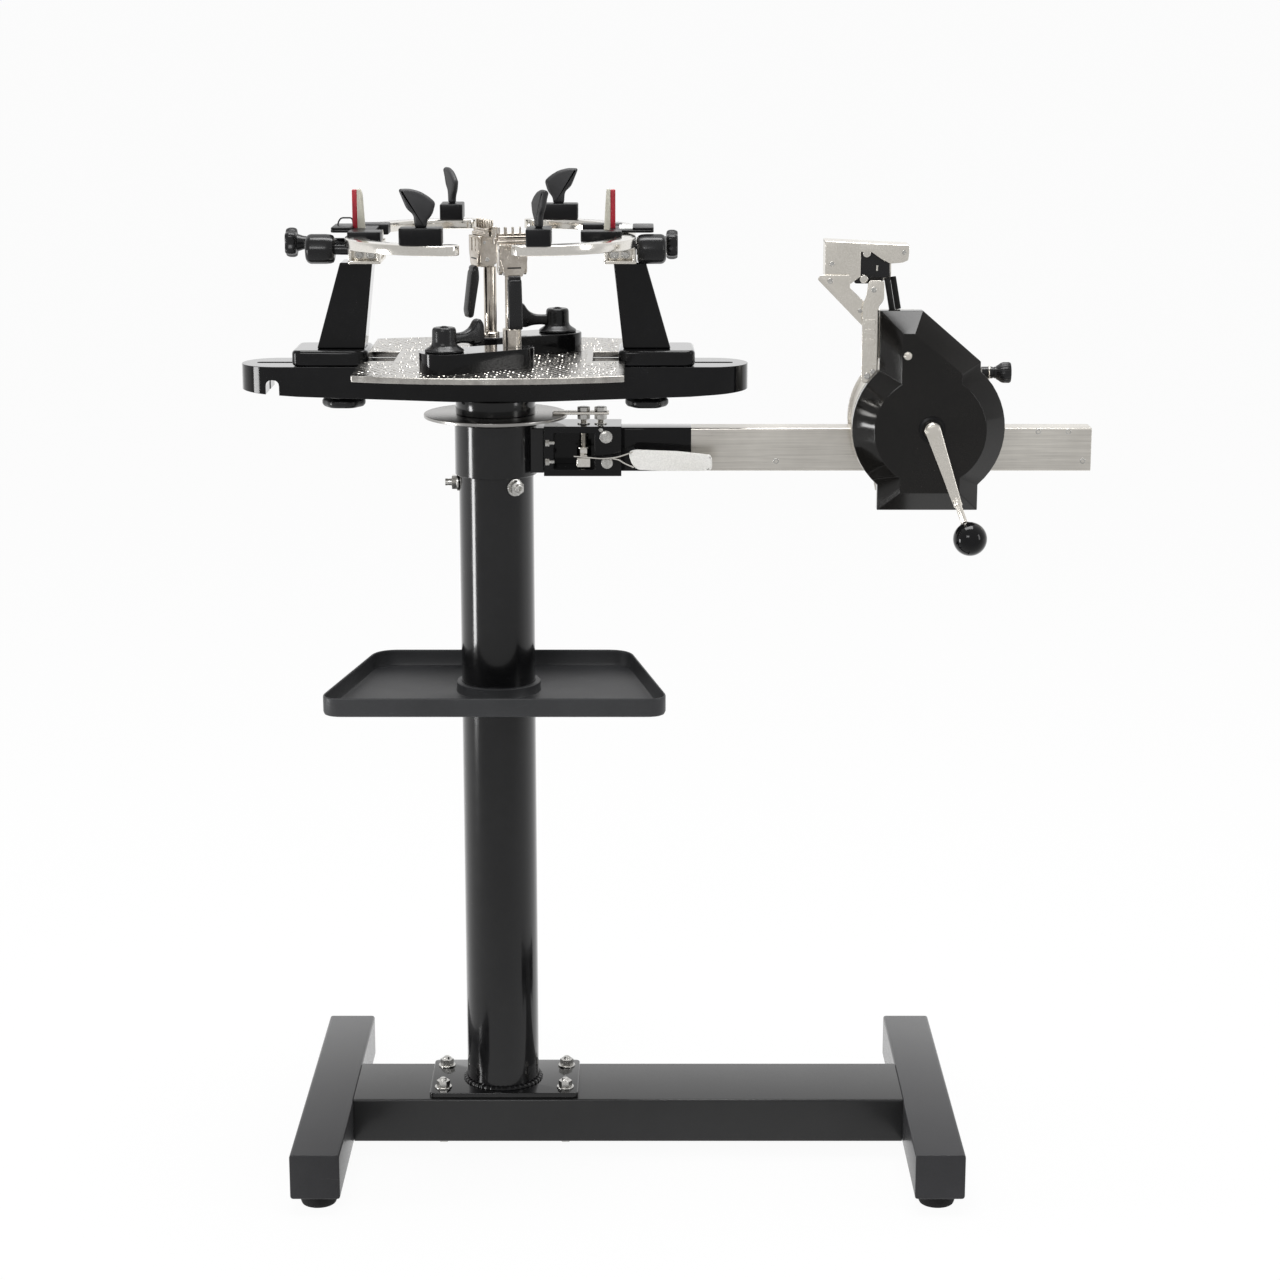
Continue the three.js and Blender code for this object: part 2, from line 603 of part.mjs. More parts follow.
// The front right arm and its hook are drawn, and mirrored for the other three places.
function addArm(sideName, side, rowName, row) {
  const half = arm.width / 2;
  const outside = arcPoints(arcCentreX, arcCentreY, arm.arcRadius + half, armStart, armEnd, arcSteps);
  const inside = arcPoints(arcCentreX, arcCentreY, arm.arcRadius - half, armEnd, armStart, arcSteps);
  const onArc = (angle) => [
    arcCentreX + arm.arcRadius * Math.cos(angle), arcCentreY + arm.arcRadius * Math.sin(angle),
  ];
  const body = join(
    raised([...outside, ...inside].reverse(), armBottomZ, armTopZ),
    upright(half, armBottomZ, armTopZ, ...onArc(armEnd), smallSides),
    upright(arm.bossRadius, armBottomZ, armTopZ, pivotX, -arm.pivotY, smallSides),
  ).scale([side, -row, 1]);
  addPart(`side_arm_${rowName}_${sideName}`, body, finish.nickel);

  const broad = side === row;
  const [x, y] = onArc((broad ? hookAnglesShare.broad : hookAnglesShare.narrow) * Math.PI);
  const halfLength = hook.blockLength / 2;
  const halfWidth = hook.blockWidth / 2;
  const neckZ = hook.blockHeight + hook.neckHalf;
  const leafTopZ = hook.blockHeight + hook.leafHeight;
  const neck = hook.neckHalf;
  const leaf = carried([
    [-neck, hook.blockHeight - overrun], [neck, hook.blockHeight - overrun], [neck, neckZ],
    [hook.leafHalf, hook.blockHeight + hook.leafHeight / 2], [hook.leafHalf - neck / 2, leafTopZ - neck],
    [0, leafTopZ - neck / 2], [-hook.leafHalf, leafTopZ], [-hook.leafHalf + neck / 2, leafTopZ - 2 * neck],
    [-neck, neckZ],
  ], -hook.leafThickness / 2, hook.leafThickness / 2);
  const pad = raised(
    boxOutline(-halfLength, halfLength, -halfWidth, halfWidth, hook.blockCorner), 0, hook.blockHeight,
  );
  const turn = (broad ? 0 : 90) + (row < 0 ? 0 : 180);
  addPart(`frame_hook_${rowName}_${sideName}`, join(pad, leaf)
    .rotate([0, 0, turn])
    .translate([side * x, -row * y, armTopZ + restingGap]), finish.rubber);
}

function addClamp(place) {
  const group = new THREE.Group();
  group.position.set(place.x, place.y, 0);
  machine.add(group);

  const baseTurn = place.baseTurn;
  const outline = capsuleOutline(clampBase.postRadius, clampBase.knobRadius, clampBase.spacing);
  const socket = upright(
    clampPost.radius + runningGap, baseTopZ - clampPost.depth, baseTopZ + overrun, 0, 0, smallSides,
  );
  const baseBody = cut(raised(outline, plateTopZ, baseTopZ), socket).rotate([0, 0, baseTurn]);
  addPart(`clamp_base_${place.name}`, baseBody, finish.glossBlack, group);

  const flangeTop = baseTopZ + camLever.flangeHeight;
  const lever = join(
    upright(camLever.flangeRadius, baseTopZ, flangeTop, 0, 0, smallSides),
    upright(camLever.hubRadius, baseTopZ, baseTopZ + camLever.height, 0, 0, smallSides),
    block(0, camLever.armLength + camLever.paddleLength / 2, -camLever.armHalf, camLever.armHalf,
      baseTopZ + camLever.armBottom, baseTopZ + camLever.armTop),
    carried(boxOutline(
      camLever.armLength, camLever.armLength + camLever.paddleLength,
      flangeTop, flangeTop + camLever.paddleHeight, camLever.paddleHalf,
    ), -camLever.paddleHalf, camLever.paddleHalf),
  );
  const bearing = THREE.MathUtils.degToRad(baseTurn);
  addPart(`cam_lever_${place.name}`, lever.rotate([0, 0, place.camTurn]).translate([
    clampBase.spacing * Math.cos(bearing), clampBase.spacing * Math.sin(bearing), 0,
  ]), finish.plastic, group);

  const postFootZ = baseTopZ - clampPost.depth + restingGap;
  const collarZ = baseTopZ + restingGap;
  addPart(`clamp_post_${place.name}`, join(
    upright(clampPost.radius, postFootZ, clampHeadZ, 0, 0, smallSides),
    upright(clampPost.collarRadius, collarZ, collarZ + clampPost.collarHeight, 0, 0, smallSides),
  ), finish.nickel, group);

  addClampHead(place, group);
}

function addClampHead(place, group) {
  const h = clampHead;
  const halfWidth = h.width / 2;
  const halfDepth = h.depth / 2;
  const bodyTopZ = clampHeadZ + h.bodyHeight;
  const jawTopZ = bodyTopZ + h.jawHeight;
  const shoulderZ = (clampHeadZ + bodyTopZ) / 2;
  const body = carried([
    [-h.chinHalf, clampHeadZ], [h.chinHalf, clampHeadZ], [halfWidth, shoulderZ], [halfWidth, bodyTopZ],
    [-halfWidth, bodyTopZ], [-halfWidth, shoulderZ],
  ], -halfDepth, halfDepth);
  const jaws = [-1, 1].map((sign) => block(
    -h.jawLength / 2, h.jawLength / 2, sign * h.jawGap / 2, sign * (h.jawGap / 2 + h.jawWidth),
    bodyTopZ - overrun, jawTopZ,
  ));
  const pitch = (h.jawLength - h.fingerWidth) / (h.fingers - 1);
  const fingers = [];
  for (let i = 0; i < h.fingers; i += 1) {
    const x = -h.jawLength / 2 + pitch * i;
    for (const sign of [-1, 1]) {
      fingers.push(block(
        x, x + h.fingerWidth, sign * h.jawGap / 2, sign * (h.jawGap / 2 + h.jawWidth / 2),
        jawTopZ - overrun / 2, jawTopZ + h.fingerHeight,
      ));
    }
  }
  const slotHalf = clampLever.tongueWidth / 2 + runningGap;
  const leverSlot = block(
    -slotHalf, slotHalf, -halfDepth - overrun, -halfDepth / 3, clampHeadZ - overrun, shoulderZ,
  );
  const turn = [0, 0, place.headTurn];
  const ahead = [0, -h.forward, 0];
  const head = cut(join(body, ...jaws, ...fingers), leverSlot).translate(ahead);
  addPart(`clamp_head_${place.name}`, head.rotate(turn), finish.nickel, group);

  const lever = clampLever;
  const bladeTopZ = clampHeadZ - lever.drop;
  const tongueTopZ = clampHeadZ + lever.pinLift + lever.thickness / 2;
  const bladeY = -halfDepth - overrun / 2;
  const bladeOutline = boxOutline(
    -lever.width / 2, lever.width / 2, bladeTopZ - lever.length, bladeTopZ, lever.tipRadius,
  );
  const blade = carried(bladeOutline, bladeY - lever.thickness / 2, bladeY + lever.thickness / 2);
  const tongue = block(
    -lever.tongueWidth / 2, lever.tongueWidth / 2, bladeY - lever.thickness / 2, -halfDepth / 2,
    tongueTopZ - lever.tongueHeight, tongueTopZ,
  );
  const handle = join(blade, tongue).translate(ahead);
  addPart(`clamp_lever_${place.name}`, handle.rotate(turn), finish.plastic, group);
}

// The housing's outline in X and Z: a circle with a squared foot and a peaked top
function housingOutline(inset) {
  const h = housing;
  const radius = h.radius - inset;
  const left = h.leftReach - inset;
  const right = h.rightReach - inset;
  const leftAngle = Math.acos(left / radius);
  const rightAngle = Math.acos(right / radius);
  const topZ = housingZ + h.topRise - inset;
  const bottomZ = housingZ - h.bottomDrop + inset;
  const leftX = h.x - left;
  return [
    [leftX, bottomZ], [h.x + right, bottomZ],
    ...arcPoints(h.x, housingZ, radius, -rightAngle, rightAngle, arcSteps),
    [h.x + right, housingZ + h.cornerRise - inset * slopeInsetShare],
    [housingLeftX + h.topLength - inset * slopeInsetShare, topZ], [leftX, topZ],
    ...arcPoints(h.x, housingZ, radius, Math.PI - leftAngle, Math.PI + leftAngle, arcSteps),
  ];
}

// A dished cover: the wide outline at the back runs in to a smaller face at the front
function chamferedCover(backY, frontY, inset) {
  const wide = housingOutline(0);
  const small = housingOutline(inset);
  const shoulderY = frontY + inset;
  const rings = [[wide, backY], [wide, shoulderY], [small, frontY]];
  const count = wide.length;
  const points = rings.flatMap(([ring, y]) => ring.flatMap(([x, z]) => [x, y, z]));
  const index = [];
  for (let r = 0; r < rings.length - 1; r += 1) {
    for (let i = 0; i < count; i += 1) {
      const a = r * count + i;
      const b = r * count + (i + 1) % count;
      index.push(a, b, b + count, a, b + count, a + count);
    }
  }
  const faces = (ring) => THREE.ShapeUtils.triangulateShape(
    ring.map(([x, z]) => new THREE.Vector2(x, z)), [],
  );
  faces(wide).forEach(([a, b, c]) => index.push(a, c, b));
  const last = (rings.length - 1) * count;
  faces(small).forEach(([a, b, c]) => index.push(last + a, last + b, last + c));
  const geometry = new THREE.BufferGeometry();
  geometry.setAttribute('position', new THREE.Float32BufferAttribute(points, 3));
  geometry.setIndex(index);
  return solid(geometry);
}

function addTensionHead() {
  const h = housing;
  const tunnel = block(
    h.x - 2 * h.radius, h.x + 2 * h.radius, -rail.halfDepth - runningGap, rail.halfDepth + runningGap,
    railBottomZ - runningGap, railTopZ + runningGap,
  );
  const carriage = carried(housingOutline(h.bodyInset), -h.coverBack, h.bodyBack);
  addPart('carriage', cut(carriage, tunnel), finish.steel);

  const crankX = h.x + crank.offsetX;
  const crankZ = housingZ + crank.offsetZ;
  const axleHole = alongY(
    crank.axleRadius + restingGap, coverFrontY - overrun, coverFrontY + crank.axleDepth + restingGap, crankX,
    crankZ,
  );
  addPart('tension_cover', cut(
    chamferedCover(-h.coverBack, coverFrontY, h.faceInset), axleHole,
  ), finish.glossBlack);
  addCrank(crankX, crankZ);
  addTensionKnob();
  addGripper();
}

function addCrank(crankX, crankZ) {
  const hubY = coverFrontY - restingGap - crank.hubLength;
  const straight = [0, -crank.turn, 0];
  const rodFoot = [0, hubY + crank.armThickness / 2, -crank.armLength + crank.armWidth / 2];
  const ballPlace = [0, coverFrontY - crank.ballLift, -crank.reach];
  const rodLength = Math.hypot(ballPlace[1] - rodFoot[1], ballPlace[2] - rodFoot[2]);
  const lean = THREE.MathUtils.radToDeg(Math.atan2(rodFoot[1] - ballPlace[1], rodFoot[2] - ballPlace[2]));
  const rod = upright(crank.rodRadius, -(rodLength - crank.ballRadius - restingGap), 0, 0, 0, smallSides)
    .rotate([-lean, 0, 0])
    .translate(rodFoot);
  const armBody = join(
    alongY(crank.hubRadius, hubY, hubY + crank.hubLength, 0, 0),
    alongY(crank.axleRadius, hubY, coverFrontY + crank.axleDepth, 0, 0),
    block(-crank.armWidth / 2, crank.armWidth / 2, hubY, hubY + crank.armThickness, -crank.armLength, 0),
    rod,
  );
  addPart('crank_arm', armBody.rotate(straight).translate([crankX, 0, crankZ]), finish.nickel);
  const ball = new THREE.SphereGeometry(crank.ballRadius, smallSides, ballSides);
  ball.rotateX(Math.PI / 2);
  addPart('crank_ball', solid(ball)
    .translate(ballPlace)
    .rotate(straight)
    .translate([crankX, 0, crankZ]), finish.plastic);
}

function addTensionKnob() {
  const kn = tensionKnob;
  const lowest = kn.lift - kn.stemRadius;
  const startX = housing.x + Math.sqrt((housing.radius - housing.bodyInset) ** 2 - lowest ** 2) + kn.gap;
  const length = kn.stemLength + kn.headLength;
  addPart('tension_knob', alongX([
    [0, 0], [kn.stemRadius, 0], [kn.stemRadius, kn.stemLength],
    [kn.headRadius, kn.stemLength + kn.headLength / 3], [kn.headRadius, length], [0, length],
  ], startX, 1, kn.y, housingZ + kn.lift), finish.plastic);
}

function addGripper() {
  const g = gripper;
  const postOuterX = housingLeftX - restingGap;
  const postInnerX = postOuterX - g.width;
  const headFrontY = -housing.coverBack - g.headForward;
  const headBackY = headFrontY + g.headDepth;
  const postFrontY = headFrontY - g.plate;
  const footZ = housingZ + g.footLift;
  const headZ = housingZ + housing.topRise + g.headRise;
  const topZ = headZ + g.headHeight;
  const innerX = postInnerX - g.headBack;
  const outerX = innerX + g.headLength;
  const shoulder = alongY(
    housing.radius + restingGap, coverFrontY, housing.bodyBack, housing.x, housingZ, 2 * roundSides,
  );
  const postPlate = cut(join(
    block(postInnerX, postOuterX, postFrontY, headFrontY, footZ, headZ + g.lap / 2),
    block(postInnerX, postOuterX, postFrontY, headFrontY + g.postDepth, footZ, headZ - g.wall),
  ), shoulder);
  const strutZ = headZ - g.strutDrop;
  const beakX = postInnerX - g.strutDrop;
  const strut = carried([
    [postInnerX, strutZ], [postInnerX + overrun, strutZ], [postInnerX + overrun, strutZ + g.strutWidth],
    [beakX + g.strutWidth, headZ], [beakX + g.strutWidth, headZ + g.lap], [innerX, headZ + g.lap],
    [beakX - g.lap / 2, headZ + g.lap / 2],
  ], postFrontY, headFrontY);
  addPart('gripper_post', join(postPlate, strut), finish.nickel);

  const windowX = innerX + g.windowInset;
  const channel = cut(
    block(innerX, outerX, headFrontY, headBackY, headZ, topZ),
    block(
      windowX, outerX + overrun, headFrontY - overrun, headBackY - g.wall, headZ - overrun, topZ - g.wall,
    ),
    block(
      innerX - overrun, windowX + overrun, headFrontY + g.wall, headBackY - g.wall, headZ - overrun,
      topZ + overrun,
    ),
  );
  addPart('gripper_head', channel, finish.nickel);
  const jawX = windowX + g.jawInset;
  const jawY = headFrontY + g.jawSetback;
  addPart('gripper_jaw', block(
    jawX, jawX + g.jawLength, jawY, jawY + g.jawDepth, headZ + g.jawDrop, topZ - g.wall - restingGap,
  ), finish.plastic);
}

addStand();
addPost();
addBracket();
addBrake();
addTurntable();
addSupport('left', -1);
addSupport('right', 1);
addClamp(frontClamp);
addClamp(backClamp);
addTensionHead();

// The frame's origin lies under the middle of the whole machine, between turntable tip and rail end.
machine.position.x = (bar.halfLength - railEndX) / 2;

export default machine;
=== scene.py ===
"""Racket stringing machine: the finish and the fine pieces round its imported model.

Sizes are in metres. X runs along the tension rail, -Y is the front, and Z is up.
"""
import json
import bmesh
import bpy
import numpy as np
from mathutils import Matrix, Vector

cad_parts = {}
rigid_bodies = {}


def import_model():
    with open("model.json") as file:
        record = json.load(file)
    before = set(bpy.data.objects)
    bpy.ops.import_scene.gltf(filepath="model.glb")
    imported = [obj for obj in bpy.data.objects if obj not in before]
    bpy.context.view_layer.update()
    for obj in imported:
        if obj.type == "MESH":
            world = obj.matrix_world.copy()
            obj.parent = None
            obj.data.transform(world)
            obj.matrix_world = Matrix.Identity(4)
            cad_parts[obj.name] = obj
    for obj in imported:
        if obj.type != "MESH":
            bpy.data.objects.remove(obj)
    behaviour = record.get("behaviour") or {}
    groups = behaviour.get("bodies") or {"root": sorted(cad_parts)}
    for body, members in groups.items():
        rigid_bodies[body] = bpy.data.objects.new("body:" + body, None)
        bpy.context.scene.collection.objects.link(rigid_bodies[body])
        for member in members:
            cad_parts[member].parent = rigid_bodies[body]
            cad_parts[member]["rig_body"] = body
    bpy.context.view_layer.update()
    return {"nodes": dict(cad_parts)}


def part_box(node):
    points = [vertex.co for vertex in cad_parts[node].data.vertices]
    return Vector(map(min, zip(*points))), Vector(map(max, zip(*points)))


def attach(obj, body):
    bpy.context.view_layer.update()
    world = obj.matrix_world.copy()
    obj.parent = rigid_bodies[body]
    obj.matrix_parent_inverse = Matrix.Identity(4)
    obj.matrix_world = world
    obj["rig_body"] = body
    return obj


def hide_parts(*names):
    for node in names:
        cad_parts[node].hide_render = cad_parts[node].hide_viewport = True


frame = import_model()

NODES = frame["nodes"]
SIDES = {"left": -1, "right": 1}
ROWS = {"front": -1, "back": 1}
ORIGIN = (0, 0, 0)
MERGE = 1e-7
FLAT_ANGLE = np.radians(0.6)
SHARP_ANGLE = np.radians(32)
LEVER_ANGLE = np.radians(45)
LEAF_ANGLE = np.radians(50)
ROUND = 96
SMALL_ROUND = 40


def corners(node):
    """The node's lowest and highest corners as arrays."""
    low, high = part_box(node)
    return np.array(low), np.array(high)


def middle(node):
    """The middle of the node's box."""
    return sum(corners(node)) / 2


POST_X = middle("spindle")[0]
POST_RADIUS = 0.040
CRANK_X, CRANK_Z = POST_X + 0.457, 0.821

# The right front racket arm, in X from the post and Y: its pivot, its arc's centre and the arc's turn
ARM_PIVOT = (0.130, -0.020)
ARM_CENTRE = (0.04047, -0.05986)
ARM_SWEEP = np.radians(116)

# How far from the post a stop's fin and an arm's shoe begin and end in X, and the shoe's far end in Y
FIN_REACH = {"left": (0.1337, 0.1422), "right": (0.1155, 0.1228)}
SHOE_REACH = {"left": (0.113, 0.1475, 0.062), "right": (0.0925, 0.135, 0.055)}


# Materials
def wire(tree, kind, inputs=None, **settings):
    """One shader node with its settings, and its inputs linked or set."""
    node = tree.nodes.new(kind)
    for key, value in settings.items():
        setattr(node, key, value)
    for key, value in (inputs or {}).items():
        if isinstance(value, bpy.types.NodeSocket):
            tree.links.new(value, node.inputs[key])
        else:
            node.inputs[key].default_value = value
    return node


def ramp(tree, factor, *stops):
    """A colour ramp with two (place, grey or colour) stops."""
    node = wire(tree, "ShaderNodeValToRGB", {"Fac": factor})
    for element, (place, colour) in zip(node.color_ramp.elements, stops):
        element.position = place
        tint = (colour,) * 3 if np.isscalar(colour) else colour
        element.color = (*tint, 1.0)
    return node.outputs["Color"]


def blended(tree, factor, first, second, kind="MIX"):
    """Two colours blended by a factor."""
    node = wire(tree, "ShaderNodeMix", {0: factor, 6: first, 7: second}, data_type="RGBA", blend_type=kind)
    return node.outputs[2]


def noise(tree, place, detail, scale=1.0):
    """A noise value at a place."""
    node = wire(tree, "ShaderNodeTexNoise", {"Vector": place, "Scale": scale, "Detail": detail,
                                             "Roughness": 0.6})
    return node.outputs["Fac"]


# The hairline marks' stretch and turn, the grain's height and the clear coat's index
STREAK_SCALE, STREAK_TURN = (35, 35, 420), (0.5, 0.9, 0.3)
GRAIN_DEPTH = 0.0001
COAT_IOR = 1.2


def make_look(name, dark, light, rough, grain, relief, metallic=0.0, cloud=9.0, marks=0.0, mark_tone=0.35,
              shine=0.5, coat=0.0, coat_rough=0.06, ring_centre=None):
    """A finish on Object coordinates: slow clouds between two tones, a fine grain that lifts the surface
    and shifts the roughness, and sparse hairline marks. With a ring centre the grain runs in circles."""
    material = bpy.data.materials.new(name)
    material.use_nodes = True
    tree = material.node_tree
    shader = tree.nodes["Principled BSDF"]
    place = wire(tree, "ShaderNodeTexCoord").outputs["Object"]
    if ring_centre is None:
        spacing = (grain,) * 3 if np.isscalar(grain) else grain
        scaled = wire(tree, "ShaderNodeMapping", {"Vector": place, "Scale": spacing}).outputs["Vector"]
    else:
        centred = wire(tree, "ShaderNodeVectorMath", {0: place, 1: ring_centre}, operation="SUBTRACT")
        flat = wire(tree, "ShaderNodeVectorMath", {0: centred.outputs["Vector"], 1: (1, 1, 0)},
                    operation="MULTIPLY")
        reach = wire(tree, "ShaderNodeVectorMath", {0: flat.outputs["Vector"]}, operation="LENGTH")
        wide = wire(tree, "ShaderNodeMath", {0: reach.outputs["Value"], 1: grain}, operation="MULTIPLY")
        scaled = wire(tree, "ShaderNodeCombineXYZ", {"X": wide.outputs["Value"]}).outputs["Vector"]
    clouds = noise(tree, place, 4.0, cloud)
    fine = noise(tree, scaled, 3.0)
    tone = ramp(tree, clouds, (0.32, dark), (0.68, light))
    speck = ramp(tree, fine, (0.3, 0.8), (0.7, 1.0))
    tone = blended(tree, 1.0, tone, speck, "MULTIPLY")
    if marks > 0:
        streaks = wire(tree, "ShaderNodeMapping", {"Vector": place, "Scale": STREAK_SCALE,
                                                   "Rotation": STREAK_TURN}).outputs["Vector"]
        lines = ramp(tree, noise(tree, streaks, 2.0), (0.7, 0.0), (0.76, marks))
        tone = blended(tree, lines, tone, (mark_tone, mark_tone, mark_tone, 1.0))
    tree.links.new(tone, shader.inputs["Base Color"])
    wander = wire(tree, "ShaderNodeMath", {0: clouds, 1: fine}, operation="ADD")
    low, high = rough
    spread = wire(tree, "ShaderNodeMapRange", {"Value": wander.outputs["Value"], "From Min": 0.6,
                                               "From Max": 1.4, "To Min": low, "To Max": high})
    tree.links.new(spread.outputs["Result"], shader.inputs["Roughness"])
    lift = wire(tree, "ShaderNodeBump", {"Height": fine, "Strength": relief, "Distance": GRAIN_DEPTH})
    tree.links.new(lift.outputs["Normal"], shader.inputs["Normal"])
    shader.inputs["Metallic"].default_value = metallic
    shader.inputs["Specular IOR Level"].default_value = shine
    shader.inputs["Coat Weight"].default_value = coat
    shader.inputs["Coat IOR"].default_value = COAT_IOR
    shader.inputs["Coat Roughness"].default_value = coat_rough
    return material


BRUSHED = (14, 900, 900)

# Each finish: its slot, its dark and light tones, the range of its roughness, how fine its grain is and how
# high it stands, and what else sets it apart
FINISHES = {
    "powder_coat": ("powder_coat", (0.022, 0.022, 0.024), (0.034, 0.034, 0.037), (0.42, 0.58), 1100, 0.3,
                    dict(marks=0.05, shine=0.2, coat=1.0, coat_rough=0.2)),
    "tray_coat": ("powder_coat", (0.028, 0.029, 0.031), (0.04, 0.041, 0.044), (0.36, 0.55), 800, 0.3,
                  dict(marks=0.08, shine=0.4)),
    "gloss_black": ("gloss_black", (0.0035, 0.0035, 0.004), (0.007, 0.007, 0.0075), (0.07, 0.14), 90, 0.04,
                    dict(marks=0.04, mark_tone=0.06, shine=0.12, coat=1.0)),
    "post_black": ("gloss_black", (0.005, 0.005, 0.0055), (0.009, 0.009, 0.0095), (0.12, 0.2), 90, 0.04,
                   dict(marks=0.04, mark_tone=0.06, shine=0.3, coat=1.0)),
    "cover_black": ("gloss_black", (0.006, 0.0055, 0.005), (0.011, 0.01, 0.009), (0.08, 0.13), 260, 0.04,
                    dict(marks=0.05, mark_tone=0.06, shine=0.2, coat=0.7)),
    "beam_black": ("powder_coat", (0.008, 0.008, 0.0085), (0.014, 0.014, 0.0145), (0.28, 0.4), 700, 0.12,
                   dict(marks=0.05, mark_tone=0.08, shine=0.4, coat=0.5, coat_rough=0.15)),
    "satin_black": ("gloss_black", (0.004, 0.004, 0.0045), (0.008, 0.008, 0.009), (0.26, 0.38), 500, 0.12,
                    dict(marks=0.04, mark_tone=0.1, shine=0.18)),
    "steel": ("steel", (0.66, 0.63, 0.58), (0.82, 0.79, 0.73), (0.26, 0.42), BRUSHED, 0.12,
              dict(metallic=1.0, marks=0.2, mark_tone=0.3)),
    "plate_steel": ("steel", (0.4, 0.38, 0.355), (0.66, 0.64, 0.6), (0.16, 0.3), 900, 0.1,
                    dict(metallic=1.0, cloud=60.0, marks=0.5, mark_tone=0.2)),
    "turned_steel": ("steel", (0.38, 0.37, 0.36), (0.5, 0.49, 0.47), (0.2, 0.34), 1500, 0.2,
                     dict(metallic=1.0, marks=0.1, ring_centre=(POST_X, 0, 0))),
    "nickel": ("nickel", (0.82, 0.78, 0.71), (0.92, 0.88, 0.81), (0.2, 0.32), 1200, 0.04,
               dict(metallic=1.0, marks=0.15)),
    "bright_nickel": ("nickel", (0.8, 0.77, 0.71), (0.88, 0.85, 0.8), (0.1, 0.18), 1200, 0.02,
                      dict(metallic=1.0, marks=0.1, mark_tone=0.5)),
    "clamp_nickel": ("nickel", (0.48, 0.43, 0.375), (0.68, 0.63, 0.56), (0.12, 0.24), 1200, 0.04,
                     dict(metallic=1.0, cloud=70.0, marks=0.2, mark_tone=0.3)),
    "pale_paint": ("nickel", (0.84, 0.83, 0.79), (0.9, 0.89, 0.86), (0.3, 0.42), 900, 0.06,
                   dict(cloud=30.0, marks=0.06, mark_tone=0.45)),
    "zinc": ("nickel", (0.5, 0.49, 0.47), (0.72, 0.71, 0.68), (0.18, 0.34), 500, 0.1,
             dict(metallic=1.0, cloud=160.0)),
    "rubber": ("rubber", (0.009, 0.009, 0.009), (0.016, 0.016, 0.016), (0.7, 0.88), 900, 0.4,
               dict(marks=0.1, mark_tone=0.06, shine=0.3)),
    "plastic": ("plastic", (0.006, 0.006, 0.0065), (0.012, 0.012, 0.013), (0.2, 0.34), 1200, 0.1,
                dict(marks=0.05, mark_tone=0.1, shine=0.35)),
    "soft_grip": ("soft_grip", (0.012, 0.012, 0.0135), (0.022, 0.022, 0.024), (0.46, 0.62), 1400, 0.3,
                  dict(cloud=30.0, marks=0.06, mark_tone=0.1)),
    "ivory": ("ivory", (0.56, 0.54, 0.45), (0.68, 0.66, 0.57), (0.36, 0.5), 900, 0.12,
              dict(cloud=40.0, marks=0.08, mark_tone=0.4)),
    "red": ("ivory", (0.34, 0.008, 0.02), (0.46, 0.014, 0.03), (0.28, 0.42), 900, 0.12,
            dict(cloud=60.0, marks=0.08, mark_tone=0.3)),
    "pale_pad": ("ivory", (0.56, 0.57, 0.55), (0.7, 0.71, 0.69), (0.3, 0.45), 900, 0.12,
                 dict(cloud=50.0, marks=0.12, mark_tone=0.45)),
}
LOOKS = {name: make_look(name, *finish, **rest) for name, (_, *finish, rest) in FINISHES.items()}


# Shapes: each is (points, faces) of closed surfaces
def rings(points, closed=False):
    """Quads between the neighbouring rings of an (m, n, 3) array. The end rings are filled, unless the
    rings close on each other."""
    count, around = points.shape[:2]
    index = np.arange(count * around).reshape(count, around)
    here = index if closed else index[:-1]
    above = np.roll(index, -1, axis=0) if closed else index[1:]
    quads = np.stack([here, np.roll(here, -1, axis=1), np.roll(above, -1, axis=1), above], axis=-1)
    faces = quads.reshape(-1, 4).tolist()
    if not closed:
        faces += [index[0, ::-1].tolist(), index[-1].tolist()]
    return points.reshape(-1, 3), faces


def laid(u, v, w, plane):
    """Points with two coordinates in a named plane and the third along its normal."""
    order = {"xy": (u, v, w), "xz": (u, w, v), "yz": (w, u, v)}[plane]
    return np.stack(np.broadcast_arrays(*order), axis=-1)


def eased(points, radius, steps=4, closed=True):
    """Each corner of an outline becomes a curve: the quadratic curve from a point short of the corner to a
    point past it, pulled towards the corner."""
    points = np.asarray(points, float)
    before = np.roll(points, 1, axis=0) - points
    after = np.roll(points, -1, axis=0) - points
    reach = np.minimum(np.linalg.norm(before, axis=1), np.linalg.norm(after, axis=1)) / 2
    back = np.minimum(np.broadcast_to(radius, reach.shape), reach)[:, None]
    start = points + back * before / np.linalg.norm(before, axis=1)[:, None]
    end = points + back * after / np.linalg.norm(after, axis=1)[:, None]
    t = np.linspace(0, 1, steps + 1)[None, :, None]
    curve = (1 - t) ** 2 * start[:, None] + 2 * t * (1 - t) * points[:, None] + t ** 2 * end[:, None]
    if closed:
        return curve.reshape(-1, points.shape[1])
    return np.vstack([points[:1], curve[1:-1].reshape(-1, points.shape[1]), points[-1:]])


def turned(profile, centre, axis="z", sides=SMALL_ROUND, lobes=0, depth=0.0, hollow=False):
    """A profile of (radius, height) turned about an axis through the centre. With lobes the radius swells
    and shrinks as a cosine of the turn. A hollow one is a ring: its profile is a closed outline."""
    profile = np.asarray(profile, float)
    turn = np.linspace(0, 2 * np.pi, sides, endpoint=False)[None, :]
    radius = profile[:, :1] * (1 + depth * (np.cos(lobes * turn) - 1))
    u, v = radius * np.cos(turn), radius * np.sin(turn)
    w = np.broadcast_to(profile[:, 1:], u.shape)
    order = {"z": (u, v, w), "y": (v, w, u), "x": (w, u, v)}[axis]
    return rings(np.stack(order, axis=-1) + np.asarray(centre), closed=hollow)


